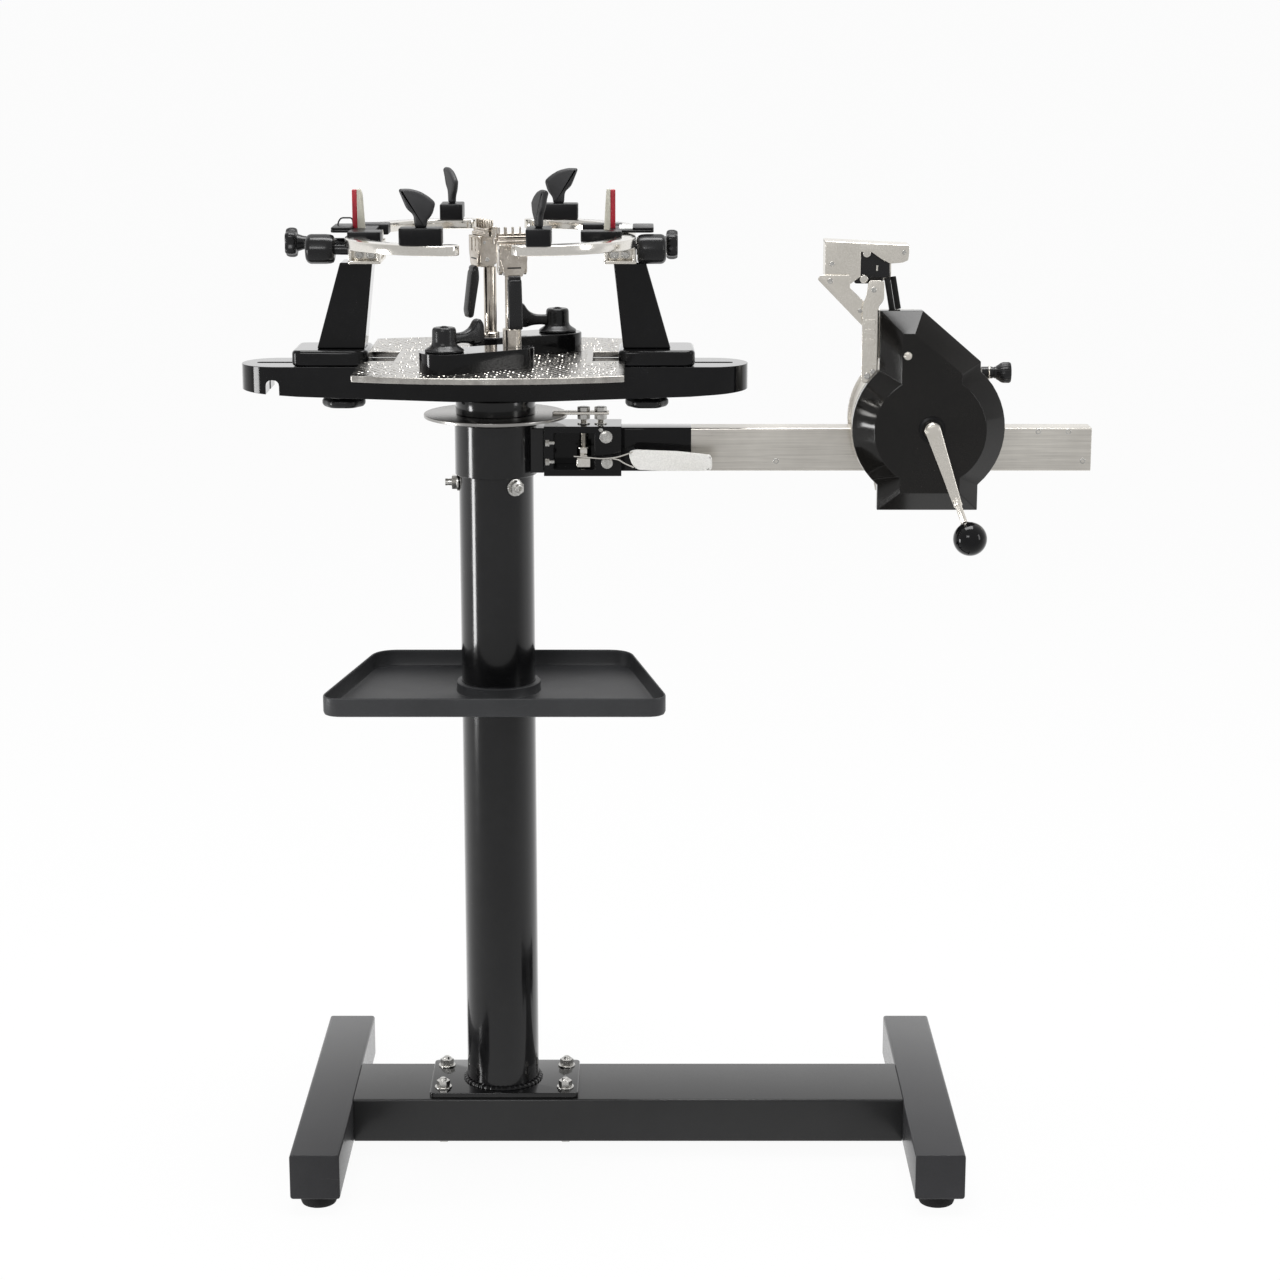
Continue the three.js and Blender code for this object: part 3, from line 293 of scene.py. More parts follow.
def soft_bar(radius, low, high, edge, steps=3):
    """The profile of a round bar whose two rims are quarter circles."""
    turn = np.linspace(0, np.pi / 2, steps + 1)
    foot = np.stack([radius - edge + edge * np.sin(turn), low + edge - edge * np.cos(turn)], axis=1)
    top = np.stack([foot[::-1, 0], high + low - foot[::-1, 1]], axis=1)
    return np.vstack([[0, low], foot, top, [0, high]])


def round_bar(radius, low, high, edge, centre, axis="z", sides=SMALL_ROUND):
    """A round bar or plate between two heights along an axis, with its rims rounded."""
    return turned(soft_bar(radius, low, high, edge), centre, axis, sides)


def washer(inner, outer, low, high, centre, axis="z"):
    """A flat ring with a slight cone on its outer edge."""
    cone = (high - low) * 0.3
    profile = [[inner, low], [outer - abs(cone), low], [outer, low + cone], [outer, high - cone],
               [outer - abs(cone), high], [inner, high]]
    return turned(profile, centre, axis, 48, hollow=True)


def inset(outline, distance):
    """The outline moved inwards: each point goes along the mean of its two edges' normals."""
    edge = np.roll(outline, -1, axis=0) - outline
    edge /= np.maximum(np.linalg.norm(edge, axis=1), MERGE)[:, None]
    normal = np.stack([-edge[:, 1], edge[:, 0]], axis=1)
    area = np.sum(outline[:, 0] * np.roll(outline[:, 1], -1) - outline[:, 1] * np.roll(outline[:, 0], -1))
    mean = normal + np.roll(normal, 1, axis=0)
    mean /= np.maximum(np.sum(mean ** 2, axis=1) / 2, 0.5)[:, None]
    return outline + np.sign(area) * distance * mean


def slab(outline, low, high, edge, plane="xy", steps=3):
    """An outline raised between two heights, its rims rounded by quarter circles."""
    outline = np.asarray(outline, float)
    turn = np.linspace(0, np.pi / 2, steps + 1)
    inward = edge * (1 - np.sin(turn))
    rise = edge * (1 - np.cos(turn))
    inward, heights = np.r_[inward, inward[::-1]], np.r_[low + rise, (high - rise)[::-1]]
    layers = [laid(*inset(outline, d).T, h, plane) for d, h in zip(inward, heights)]
    return rings(np.stack(layers))


def rectangle(x0, x1, y0, y1, radius=0.0, steps=4):
    """A four-sided outline with eased corners."""
    outline = np.array([[x0, y0], [x1, y0], [x1, y1], [x0, y1]], float)
    return eased(outline, radius, steps) if radius else outline


def brick(low, high, edge, corner=None, plane="xy"):
    """A block between two corners with rounded edges."""
    low, high = np.minimum(low, high), np.maximum(low, high)
    u, v, w = {"xy": (0, 1, 2), "xz": (0, 2, 1), "yz": (1, 2, 0)}[plane]
    outline = rectangle(low[u], high[u], low[v], high[v], corner or edge)
    return slab(outline, low[w], high[w], edge, plane)


def swept(path, section, up=(0, 0, 1)):
    """A section of (side, upward) points carried along a path. Each ring stands square to the path."""
    path = np.asarray(path, float)
    ahead = np.gradient(path, axis=0)
    ahead /= np.linalg.norm(ahead, axis=1)[:, None]
    side = np.cross(ahead, np.asarray(up, float))
    side /= np.linalg.norm(side, axis=1)[:, None]
    rise = np.cross(side, ahead)
    section = np.asarray(section, float)
    points = path[:, None] + section[None, :, :1] * side[:, None] + section[None, :, 1:] * rise[:, None]
    return rings(points)


def direction(start, end, count):
    """Unit steps at evenly spaced angles."""
    angle = np.linspace(start, end, count)
    return np.stack([np.cos(angle), np.sin(angle)], axis=1)


def circle(radius, sides):
    """Points of a circle round the origin."""
    return radius * direction(0, 2 * np.pi, sides + 1)[:-1]


def millimetres(points):
    """Points that are written in millimetres, in metres."""
    return np.array(points, float) / 1000


def rod(start, end, radius):
    """A round bar between two points, with its rims rounded."""
    start, end = np.asarray(start, float), np.asarray(end, float)
    ahead = end - start
    length = np.linalg.norm(ahead)
    points, faces = round_bar(radius, 0, length, 0.0004, ORIGIN, sides=20)
    return turned_to(points, ahead / length) + start, faces


def turned_to(points, ahead):
    """Points turned so that their Z axis runs ahead: the two other axes are cross products with it."""
    helper = np.array([0, 1, 0]) if abs(ahead[1]) < 0.9 else np.array([1, 0, 0])
    side = np.cross(helper, ahead)
    side /= np.linalg.norm(side)
    return points @ np.stack([side, np.cross(ahead, side), ahead])


def spun(shape, degrees, centre=ORIGIN, axis="z"):
    """A shape turned about an axis through a centre."""
    points, faces = shape
    angle = np.radians(degrees)
    cos, sin = np.cos(angle), np.sin(angle)
    matrix = {"z": [[cos, -sin, 0], [sin, cos, 0], [0, 0, 1]],
              "y": [[cos, 0, sin], [0, 1, 0], [-sin, 0, cos]]}[axis]
    centre = np.asarray(centre, float)
    return (points - centre) @ np.array(matrix).T + centre, faces


def stood(shapes, turn, place):
    """Shapes drawn round the origin, turned about Z and set down at a place."""
    return [(spun(shape, turn)[0] + place, shape[1]) for shape in shapes]


def mirrored(shape, sign, row_sign):
    """A shape drawn for the right front place, flipped about the post for another place."""
    points, faces = shape
    return (points - [POST_X, 0, 0]) * [sign, -row_sign, 1] + [POST_X, 0, 0], faces


def hexagon(centre, axis, across, low, high):
    """A hexagon nut or head: six flats, with its corners cut by a shallow cone at both ends."""
    radius = across / np.sqrt(3)
    rim = radius * 0.9
    cone = (radius - rim) * 0.5
    profile = [[0, low], [rim, low], [radius, low + cone], [radius, high - cone], [rim, high], [0, high]]
    return turned(profile, centre, axis, 6)


def screw_head(centre, axis, radius, height, out=1, socket=0.55):
    """A socket head: a drum with a rounded rim and a hollow in its top. Height runs outwards."""
    edge = radius * 0.18
    turn = np.linspace(0, np.pi / 2, 4)
    rim = np.stack([radius - edge + edge * np.cos(turn), height - edge + edge * np.sin(turn)], axis=1)
    hole = radius * socket
    floor = height * 0.35
    profile = np.vstack([[0, 0], [radius, 0], rim, [hole, height], [hole * 0.94, floor], [0, floor]])
    profile[:, 1] *= out
    return turned(profile, centre, axis, 24)


def face_screws(places, y, height, socket=0.55):
    """Socket heads on a face that looks to the front. Places are (X from the post, Z, radius) in
    millimetres."""
    return [screw_head((POST_X + x / 1000, y, z / 1000), "y", radius / 1000, height, -1, socket)
            for x, z, radius in places]


def front_sheet(outline, y_front, y_back, ease=0.0015, edge=0.0005):
    """A sheet facing the front: an outline in X from the post and Z, in millimetres."""
    return slab(eased(millimetres(outline), ease, 4) + [POST_X, 0], y_front, y_back, edge, "xz")


# Pieces
def piece(name, like, look, *shapes, replaces=(), sharp=SHARP_ANGLE):
    """One object made of closed shapes. It rides with the body of the node that it is like, and wears its
    finish."""
    points = np.vstack([shape[0] for shape in shapes])
    starts = np.cumsum([0] + [len(shape[0]) for shape in shapes])
    faces = [[start + i for i in face] for start, shape in zip(starts, shapes) for face in shape[1]]
    mesh = bpy.data.meshes.new(name)
    mesh.from_pydata(points.tolist(), [], faces)
    joined = bmesh.new()
    joined.from_mesh(mesh)
    bmesh.ops.remove_doubles(joined, verts=joined.verts, dist=MERGE)
    bmesh.ops.recalc_face_normals(joined, faces=joined.faces)
    joined.to_mesh(mesh)
    joined.free()
    placed(mesh, name, like, look, replaces, sharp)


def placed(mesh, name, like, look, replaces, sharp=SHARP_ANGLE):
    """The mesh as an object at the origin: smooth but for its sharp edges, finished and riding."""
    mesh.shade_smooth()
    mesh.set_sharp_from_angle(angle=sharp)
    thing = bpy.data.objects.new(name, mesh)
    bpy.context.scene.collection.objects.link(thing)
    mesh.materials.append(LOOKS[look])
    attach(thing, NODES[like]["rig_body"])
    if replaces:
        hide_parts(*replaces)
    return thing


def dressed(node, look, edge, segments=2):
    """The node's own form: its loose triangles merged, flat neighbours joined and its edges rounded."""
    form = bmesh.new()
    form.from_mesh(NODES[node].data)
    bmesh.ops.remove_doubles(form, verts=form.verts, dist=MERGE * 10)
    bmesh.ops.dissolve_limit(form, angle_limit=FLAT_ANGLE, verts=form.verts, edges=form.edges)
    mesh = bpy.data.meshes.new(f"{node}_form")
    form.to_mesh(mesh)
    form.free()
    bevel = placed(mesh, f"{node}_form", node, look, (node,)).modifiers.new("edge", "BEVEL")
    bevel.width = edge
    bevel.segments = segments
    bevel.limit_method = "ANGLE"
    bevel.angle_limit = SHARP_ANGLE
    bevel.harden_normals = True


def ends(node, sign):
    """The X of the node's near and far end, seen from the post."""
    low, high = corners(node)
    return (low[0], high[0]) if sign > 0 else (high[0], low[0])


def make_stand():
    """The stand: two square foot bars on levelling feet, and the cross beam that ties them."""
    for side in SIDES:
        node = f"foot_bar_{side}"
        piece(f"{node}_tube", node, "powder_coat", brick(*corners(node), 0.0012, 0.0035, "xz"),
              replaces=(node,))
        for end in ROWS:
            make_foot(f"rubber_foot_{side}_{end}")
    piece("cross_beam_tube", "cross_beam", "beam_black", brick(*corners("cross_beam"), 0.0004, 0.003, "yz"),
          replaces=("cross_beam",))


def make_foot(node):
    """A levelling foot: a tapered rubber pad with a groove round it, under a plated collar."""
    low, high = corners(node)
    radius, height = (high[0] - low[0]) / 2, high[2] - low[2]
    centre = (*middle(node)[:2], 0)
    groove = height * 0.62
    profile = eased([[0, 0], [radius * 0.93, 0], [radius, height * 0.2], [radius, groove],
                     [radius * 0.9, groove + height * 0.06], [radius * 0.98, groove + height * 0.14],
                     [radius * 0.9, height * 0.94], [0, height * 0.94]], 0.0012, 3, closed=False)
    piece(f"{node}_pad", node, "rubber", turned(profile, centre, sides=56), replaces=(node,))
    piece(f"{node}_collar", node, "zinc", round_bar(radius * 0.5, height * 0.9, height, 0.0003, centre))


def make_post():
    """The post's tube on its flange, and a weld bead round its foot, whose thickness swells and shrinks as a
    sine of the turn."""
    flange_low, flange_high = corners("post")
    beam_bottom, beam_top = (corner[2] for corner in corners("cross_beam"))
    plate_top, top = beam_top + 0.006, flange_high[2]
    bead, ripples = 0.0028, 44
    plate = slab(rectangle(flange_low[0], flange_high[0], flange_low[1], flange_high[1], 0.006),
                 beam_top, plate_top, 0.0008)
    tube = turned([[0, plate_top], [POST_RADIUS, plate_top], [POST_RADIUS, top], [0, top]],
                  (POST_X, 0, 0), sides=ROUND)
    piece("post_tube", "post", "post_black", plate, tube, replaces=("post",))
    turn = np.linspace(0, 2 * np.pi, ripples * 6, endpoint=False)[:, None]
    around = np.linspace(0, 2 * np.pi, 10, endpoint=False)[None, :]
    fat = bead * (1 + 0.16 * np.sin(ripples * turn))
    reach = POST_RADIUS + bead * 0.5 + fat * np.cos(around)
    weld = np.stack([POST_X + reach * np.cos(turn), reach * np.sin(turn),
                     plate_top + bead * 0.35 + fat * np.sin(around)], axis=-1)
    piece("post_weld_bead", "post", "gloss_black", rings(weld, closed=True))
    make_flange_bolts(plate_top, beam_bottom)
    make_set_screws()


def make_flange_bolts(plate_top, beam_bottom):
    """Four bolts through the flange and the beam: washer, nut and thread on top, head underneath."""
    reach_x, reach_y, shift, across = 0.068, 0.032, 0.0025, 0.013
    washer_top, nut_top, thread_top = plate_top + 0.0016, plate_top + 0.0085, plate_top + 0.0108
    head_low, head_top = beam_bottom - 0.0072, beam_bottom - 0.0016
    metal = []
    for x in (-reach_x, reach_x):
        for y in (-reach_y, reach_y):
            centre = (POST_X + x + shift, y, 0)
            metal += [round_bar(0.0095, plate_top, washer_top, 0.0004, centre),
                      hexagon(centre, "z", across, washer_top, nut_top),
                      threaded(centre, 0.0038, nut_top, thread_top),
                      round_bar(0.0085, head_top, beam_bottom, 0.0003, centre),
                      hexagon(centre, "z", across, head_low, head_top)]
    piece("flange_bolts", "post", "zinc", *metal)


def threaded(centre, radius, low, high, axis="z"):
    """A screw's end: its radius falls and rises once each pitch, and its tip is cut by a cone."""
    pitch = 0.00125
    count = max(3, int(round((high - low) / pitch)) * 2)
    heights = np.linspace(low, high, count)
    reach = radius * (1 - 0.1 * (np.arange(count) % 2))
    tip = high + radius * 0.15
    profile = np.vstack([[0, low], np.stack([reach, heights], axis=1), [radius * 0.7, tip], [0, tip]])
    return turned(profile, centre, axis, 20)


def make_set_screws():
    """Two bolts that lock the post's head: one on the left and one at the front, each with its nut."""
    height, across = 0.7525, 0.014
    left = (POST_X - POST_RADIUS, 0, height)
    front_angle = np.radians(-58)
    outward = np.array([np.cos(front_angle), np.sin(front_angle), 0])
    front = np.array([POST_X, 0, height]) + POST_RADIUS * outward
    metal = [round_bar(0.0095, -0.002, 0.0, 0.0003, left, "x"),
             hexagon(left, "x", across, -0.0075, -0.001),
             threaded(left, 0.004, -0.0075, -0.0145, "x")]
    parts = [round_bar(0.0092, -0.0004, 0.0016, 0.0003, ORIGIN),
             hexagon(ORIGIN, "z", across, 0.0014, 0.0072),
             screw_head((0, 0, 0.006), "z", 0.0046, 0.0044)]
    metal += [(turned_to(points, outward) + front, faces) for points, faces in parts]
    piece("post_set_screws", "post_collar", "zinc", *metal)


def make_tray():
    """The tray is one closed skin: from the post's hole out under the floor, up the rim, over its rolled
    lip, down inside, back over the floor and up the neck. Each ring blends an outline with a circle."""
    low, high = corners("tray")
    front, back, depth = 0.185, 0.142, high[1]
    bore, neck, neck_top = 0.0403, 0.0455, low[2] + 0.014
    lip = 0.0016
    corner_steps = 14
    outline = eased([[-front, -depth], [front, -depth], [back, depth], [-back, depth]], 0.026, corner_steps)
    sides = [np.linspace(a, b, 10, endpoint=False) for a, b in zip(outline, np.roll(outline, -1, axis=0))]
    lengths = np.linalg.norm(outline - np.roll(outline, -1, axis=0), axis=1)
    outline = np.vstack([side if length > 0.02 else side[:1] for side, length in zip(sides, lengths)])
    angle = np.arctan2(outline[:, 1], outline[:, 0])
    round_way = np.stack([np.cos(angle), np.sin(angle)], axis=1)
    floor = low[2] + 0.002
    rim = high[2]
    steps = [("post", bore, low[2]), ("blend", 0.5, low[2]), ("edge", 0.004, low[2]),
             ("edge", 0.0012, low[2] + 0.0012), ("edge", 0.0, low[2] + 0.004), ("edge", 0.0, rim - 2.2 * lip)]
    steps += [("edge", inward, z) for inward, z in lip_profile(lip, rim)]
    steps += [("edge", 0.002, rim - 2.2 * lip), ("edge", 0.002, floor + 0.005),
              ("edge", 0.0032, floor + 0.0014), ("edge", 0.007, floor), ("blend", 0.35, floor),
              ("post", neck + 0.003, floor),
              ("post", neck + 0.0006, floor + 0.001), ("post", neck, floor + 0.003),
              ("post", neck, neck_top - 0.001), ("post", neck - 0.001, neck_top), ("post", bore, neck_top)]
    layers = []
    for kind, value, height in steps:
        if kind == "post":
            plan = value * round_way
        elif kind == "edge":
            plan = inset(outline, value)
        else:
            plan = value * neck * round_way + (1 - value) * inset(outline, 0.007)
        layers.append(laid(POST_X + plan[:, 0], plan[:, 1], height, "xy"))
    piece("tray_pan", "tray", "tray_coat", rings(np.stack(layers), closed=True), replaces=("tray",))


def lip_profile(lip, rim):
    """The rolled lip as (inward, height) points: half a circle over the rim's sheet."""
    turn = np.linspace(0, np.pi, 7)
    return [(0.001 - lip * 0.62 * np.cos(t), rim - lip + lip * np.sin(t)) for t in turn]


def make_head():
    """What the post's head carries: the collar, the bracket, the spindle, and the rail in its painted
    sleeve."""
    dressed("post_collar", "post_black", 0.0015, 3)
    dressed("arm_bracket", "gloss_black", 0.001)
    dressed("spindle", "bright_nickel", 0.0006)
    low, high = corners("rail")
    skin, painted_end = 0.0003, low[0] + 0.074
    piece("rail_tube", "rail", "steel", brick(low, high, 0.0006, 0.002, "yz"), replaces=("rail",))
    piece("rail_painted_sleeve", "rail", "gloss_black",
          brick((low[0], low[1] - skin, low[2] - skin), (painted_end, high[1] + skin, high[2] + skin),
                0.0002, 0.0022, "yz"))
    make_rail_screws(low, high)


def make_rail_screws(low, high):
    """Four small screws let into the rail's front face: one near its middle and three near its far end."""
    lower, upper, sunk = low[2] + 0.0105, high[2] - 0.0038, low[1] + 0.0007
    places = [(0.2983, lower), (0.6243, lower), (0.5763, upper), (0.6082, upper)]
    piece("rail_screws", "rail", "zinc",
          *[screw_head((POST_X + x, sunk, z), "y", 0.0032, 0.0009, -1) for x, z in places])


# In millimetres: the brake lever's handle, in X from the post and Z, and the bent straps that carry it, in X
# from the post, Y and Z
HANDLE = [(142.3, 793), (148.2, 795), (193.8, 793.2), (227.6, 789.4), (229.6, 785.2), (229.6, 773.5),
          (223, 772.2), (174, 772.2), (152.2, 773.4), (146.3, 777), (142.3, 787.3)]
STRAPS = [[(84, -33, 786), (97, -34, 785.2), (113.6, -38, 784.2), (129.5, -42.5, 786.4), (146, -44.5, 792.4)],
          [(124, -40, 785), (132, -43, 784), (137, -44, 780.5), (147, -44.5, 776)],
          [(92, -20, 785.6), (92.4, -26, 785.6), (93, -33, 785.4)]]


def make_brake():
    """The brake: what grips the disc, the screw that draws it tight, the lever, and the bracket's bolts."""
    make_brake_caliper()
    make_brake_screw()
    make_brake_lever()
    make_bracket_bolts()


def make_brake_caliper():
    """A strap over the disc on two threaded studs, with nuts over and under it and washers at their foot."""
    low, high = corners("brake_caliper")
    strap_low, strap_high, margin, across = 0.8275, 0.8305, 0.002, 0.0115
    strap = [brick((low[0], low[1] + margin, strap_low), (high[0], high[1] - margin, strap_high),
                   0.0005, 0.002)]
    studs = []
    for x in (0.094, 0.112):
        centre = (POST_X + x, (low[1] + high[1]) / 2, 0)
        strap.append(threaded(centre, 0.0034, low[2], high[2] - 0.002))
        studs += [hexagon(centre, "z", across, strap_high, strap_high + 0.0048),
                  hexagon(centre, "z", across, strap_low - 0.0055, strap_low),
                  round_bar(0.0068, low[2], low[2] + 0.0012, 0.0003, centre)]
    piece("brake_caliper_strap", "brake_caliper", "nickel", *strap, replaces=("brake_caliper",))
    piece("brake_caliper_nuts", "brake_caliper", "zinc", *studs)


def make_brake_screw():
    """The brake's screw: its thread, a nut under a thin washer, and a block at its foot."""
    x, y, _ = middle("brake_screw")
    centre = (x, y, 0)
    thread_low, thread_top = corners("brake_screw")[0][2] + 0.001, 0.8105
    nut_low, nut_top, washer_top = 0.7843, 0.7925, 0.7938
    nuts = [threaded(centre, 0.0046, thread_low, thread_top), hexagon(centre, "z", 0.0125, nut_low, nut_top),
            round_bar(0.0075, nut_top, washer_top, 0.0003, centre),
            brick((x - 0.0072, y - 0.008, 0.7725), (x + 0.0072, y + 0.008, 0.7832), 0.0009)]
    piece("brake_screw_nuts", "brake_screw", "bright_nickel", *nuts, replaces=("brake_screw",))


def make_brake_lever():
    """The lever: a flat pale handle on bent straps, each a flat section carried along its eased way."""
    front = corners("brake_lever")[0][1]
    handle = slab(eased(millimetres(HANDLE), 0.004, 5) + [POST_X, 0], front, front + 0.003, 0.0011, "xz", 4)
    piece("brake_lever_handle", "brake_lever", "pale_paint", handle, replaces=("brake_lever",))
    half_width, half_thick = 0.0022, 0.0008
    section = rectangle(-half_width, half_width, -half_thick, half_thick, 0.0006, 3)
    straps = [swept(eased(millimetres(way), 0.006, 6, closed=False) + [POST_X, 0, 0], section)
              for way in STRAPS]
    piece("brake_lever_strap", "brake_lever", "bright_nickel", *straps)


def make_bracket_bolts():
    """The bracket's bolts: two hexagon heads and a small screw at the front, and two bolts at its left."""
    front = corners("arm_bracket")[0][1]
    bolts = []
    for x, z, across in millimetres([(117.8, 805.9, 11.5), (118.8, 778.1, 10.5)]):
        centre = (POST_X + x, front, z)
        bolts += [round_bar(across / 1.7, -0.0006, 0.0002, 0.0002, centre, "y"),
                  hexagon(centre, "y", across, -0.0026, -0.0005)]
    bolts += face_screws([(112.6, 813.3, 2.2)], front, 0.001)
    for z in (0.7995, 0.7792):
        centre = (POST_X + 0.0535, front + 0.001, z)
        bolts += [hexagon(centre, "x", 0.0068, 0, 0.0045), threaded(centre, 0.0026, 0.0045, 0.0095, "x")]
    piece("arm_bracket_bolts", "arm_bracket", "zinc", *bolts)


def make_turntable():
    """The turntable: the hub's drum over the brake disc, the slotted bar and the clamp plate."""
    for node, part, look, edge in (("hub", "drum", "post_black", 0.0012),
                                   ("brake_disc", "plate", "turned_steel", 0.0006)):
        low, high = corners(node)
        disc = round_bar(high[0] - POST_X, low[2], high[2], edge, (POST_X, 0, 0), sides=ROUND)
        piece(f"{node}_{part}", node, look, disc, replaces=(node,))
    dressed("turntable_bar", "gloss_black", 0.0032, 5)
    dressed("clamp_plate", "plate_steel", 0.0009, 3)
    make_dimples()


def make_dimples():
    """Rows of small raised rings over the clamp plate: each is a low rim with a hollow in its middle, its
    height and place a little uneven. They stay inside the plate's arched edges and clear of the notches."""
    low, high = corners("clamp_plate")
    pitch, margin, arch, jitter = 0.008, 0.006, 0.022, 0.0009
    notch_x, notch_y = 0.098, 0.045
    half = high[0] - POST_X
    across, along = np.meshgrid(np.arange(low[0] + margin, high[0] - margin, pitch) - POST_X,
                                np.arange(low[1] + margin, high[1] - margin, pitch))
    across = across + pitch / 2 * (np.arange(across.shape[0]) % 2)[:, None]
    x, y = across.ravel(), along.ravel()
    edge = high[1] - margin - arch * (x / half) ** 2
    inside = (np.abs(y) < edge) & (np.abs(x) < half - margin / 2)
    clear = inside & ~((np.abs(x) > notch_x) & (np.abs(y) < notch_y))
    x, y = x[clear], y[clear]
    rng = np.random.default_rng(7)
    x, y = x + rng.uniform(-jitter, jitter, len(x)), y + rng.uniform(-jitter, jitter, len(y))
    share = rng.uniform(0.35, 1.2, len(x))
    profile = millimetres([(2.0, -0.05), (1.5, 0.32), (1.1, 0.32), (0.5, -0.05)])
    points, faces = turned(profile, ORIGIN, sides=8, hollow=True)
    heights = np.stack([np.ones(len(x)), np.ones(len(x)), share], axis=1)
    places = np.stack([x + POST_X, y, np.full(len(x), high[2])], axis=1)
    spread = points[None] * heights[:, None] + places[:, None]
    starts = len(points) * np.arange(len(x))
    every = (np.array(faces)[None] + starts[:, None, None]).reshape(-1, 4).tolist()
    piece("clamp_plate_dimples", "clamp_plate", "plate_steel", (spread.reshape(-1, 3), every))


def make_supports():
    """The racket supports: on each side the base, the tower and what its head carries."""
    for side, sign in SIDES.items():
        dressed(f"support_base_{side}", "gloss_black", 0.004, 5)
        dressed(f"support_tower_{side}", "gloss_black", 0.0014, 3)
        make_support_head(side, sign)
        make_lock_knob(side)
        make_side_knob(side, sign)
        make_star_knob(side, sign)
        make_centre_stop(side, sign)
        for row, row_sign in ROWS.items():
            make_arm(row, side, sign, row_sign)
            make_hook(row, side, sign, row_sign)


def make_support_head(side, sign):
    """The head as a folded nickel bracket: a base plate, a middle block with two flanges, and screws in the
    block's front and back."""
    node = f"support_head_{side}"
    low, high = corners(node)
    inner, outer = ends(node, sign)

    def near(share):
        """The X at a share of the way out."""
        return inner + share * (outer - inner)

    height, slim = high[2] - low[2], 0.72
    foot, shoulder = low[2] + 0.16 * height, low[2] + 0.72 * height
    skirt = [brick((inner, low[1], low[2]), (outer, high[1], foot), 0.0006, 0.003),
             brick((near(0.06), low[1] * slim, foot), (near(0.94), high[1] * slim, shoulder), 0.001, 0.002),
             brick((inner, low[1], shoulder), (outer, high[1], high[2]), 0.0008, 0.003)]
    ribs = [brick((near(share), end * (high[1] - 0.0004), foot - 0.0004),
                  (near(share + 0.1), end * high[1] * 0.6, shoulder + 0.0004), 0.0005, 0.001)
            for share in (0.02, 0.88) for end in (-1, 1)]
    piece(f"{node}_bracket", node, "nickel", *skirt, *ribs, replaces=(node,))
    screws = []
    for share, radius in ((0.3, 0.0042), (0.66, 0.0036)):
        front = (near(share), low[1] * slim, low[2] + 0.44 * height)
        screws += [screw_head(front, "y", radius, 0.0055, -1),
                   round_bar(radius * 1.35, -0.0011, 0.0004, 0.0003, front, "y"),
                   screw_head((near(share), high[1] * slim, front[2]), "y", radius, 0.0055, 1)]
    piece(f"{node}_screws", node, "zinc", *screws)


def make_lock_knob(side):
    """The knob under the bar: a scalloped grip with a dished foot and a plated ring round its stem."""
    node = f"lock_knob_{side}"
    low, high = corners(node)
    centre = (*middle(node)[:2], 0)
    radius, grip = (high[0] - low[0]) / 2, low[2] + 0.010
    profile = eased([[0, low[2] + 0.001], [radius * 0.55, low[2] + 0.001], [radius * 0.6, low[2]],
                     [radius * 0.9, low[2]], [radius, low[2] + 0.003], [radius, grip - 0.003],
                     [radius * 0.86, grip], [0, grip]], 0.0014, 4, closed=False)
    piece(f"{node}_grip", node, "plastic", turned(profile, centre, sides=120, lobes=6, depth=0.035),
          round_bar(0.004, grip - 0.001, high[2] - 0.0005, 0.0004, centre), replaces=(node,))
    piece(f"{node}_ring", node, "bright_nickel",
          washer(radius * 0.4, radius * 0.56, low[2] - 0.0002, low[2] + 0.0012, centre))


def make_side_knob(side, sign):
    """The round knob that moves the centre stop: a ribbed drum with a domed end and a bright end ring."""
    node = f"side_knob_{side}"
    low, high = corners(node)
    inner, outer = ends(node, sign)
    _, y, z = middle(node)
    length, radius = abs(outer - inner), (high[2] - low[2]) / 2
    grip, dome = length - 0.030, 0.006
    rim = radius - dome
    body = [[0, 0], [0.006, 0], [0.006, grip], [radius * 0.74, grip], [radius * 0.9, grip + 0.0012],
            [radius * 0.97, grip + 0.004], [radius, grip + 0.009], [radius, length - dome]]
    shoulder = dome * direction(0, np.pi / 2, 6)[1:] + [rim, length - dome]
    profile = np.vstack([body, shoulder, [[0, length]]]) * [1, sign]
    piece(f"{node}_grip", node, "plastic", turned(profile, (inner, y, z), "x", 96, 8, 0.012),
          replaces=(node,))
    piece(f"{node}_ring", node, "bright_nickel",
          washer(rim * 0.8, rim * 1.05, -0.0012 * sign, 0, (outer, y, z), "x"))


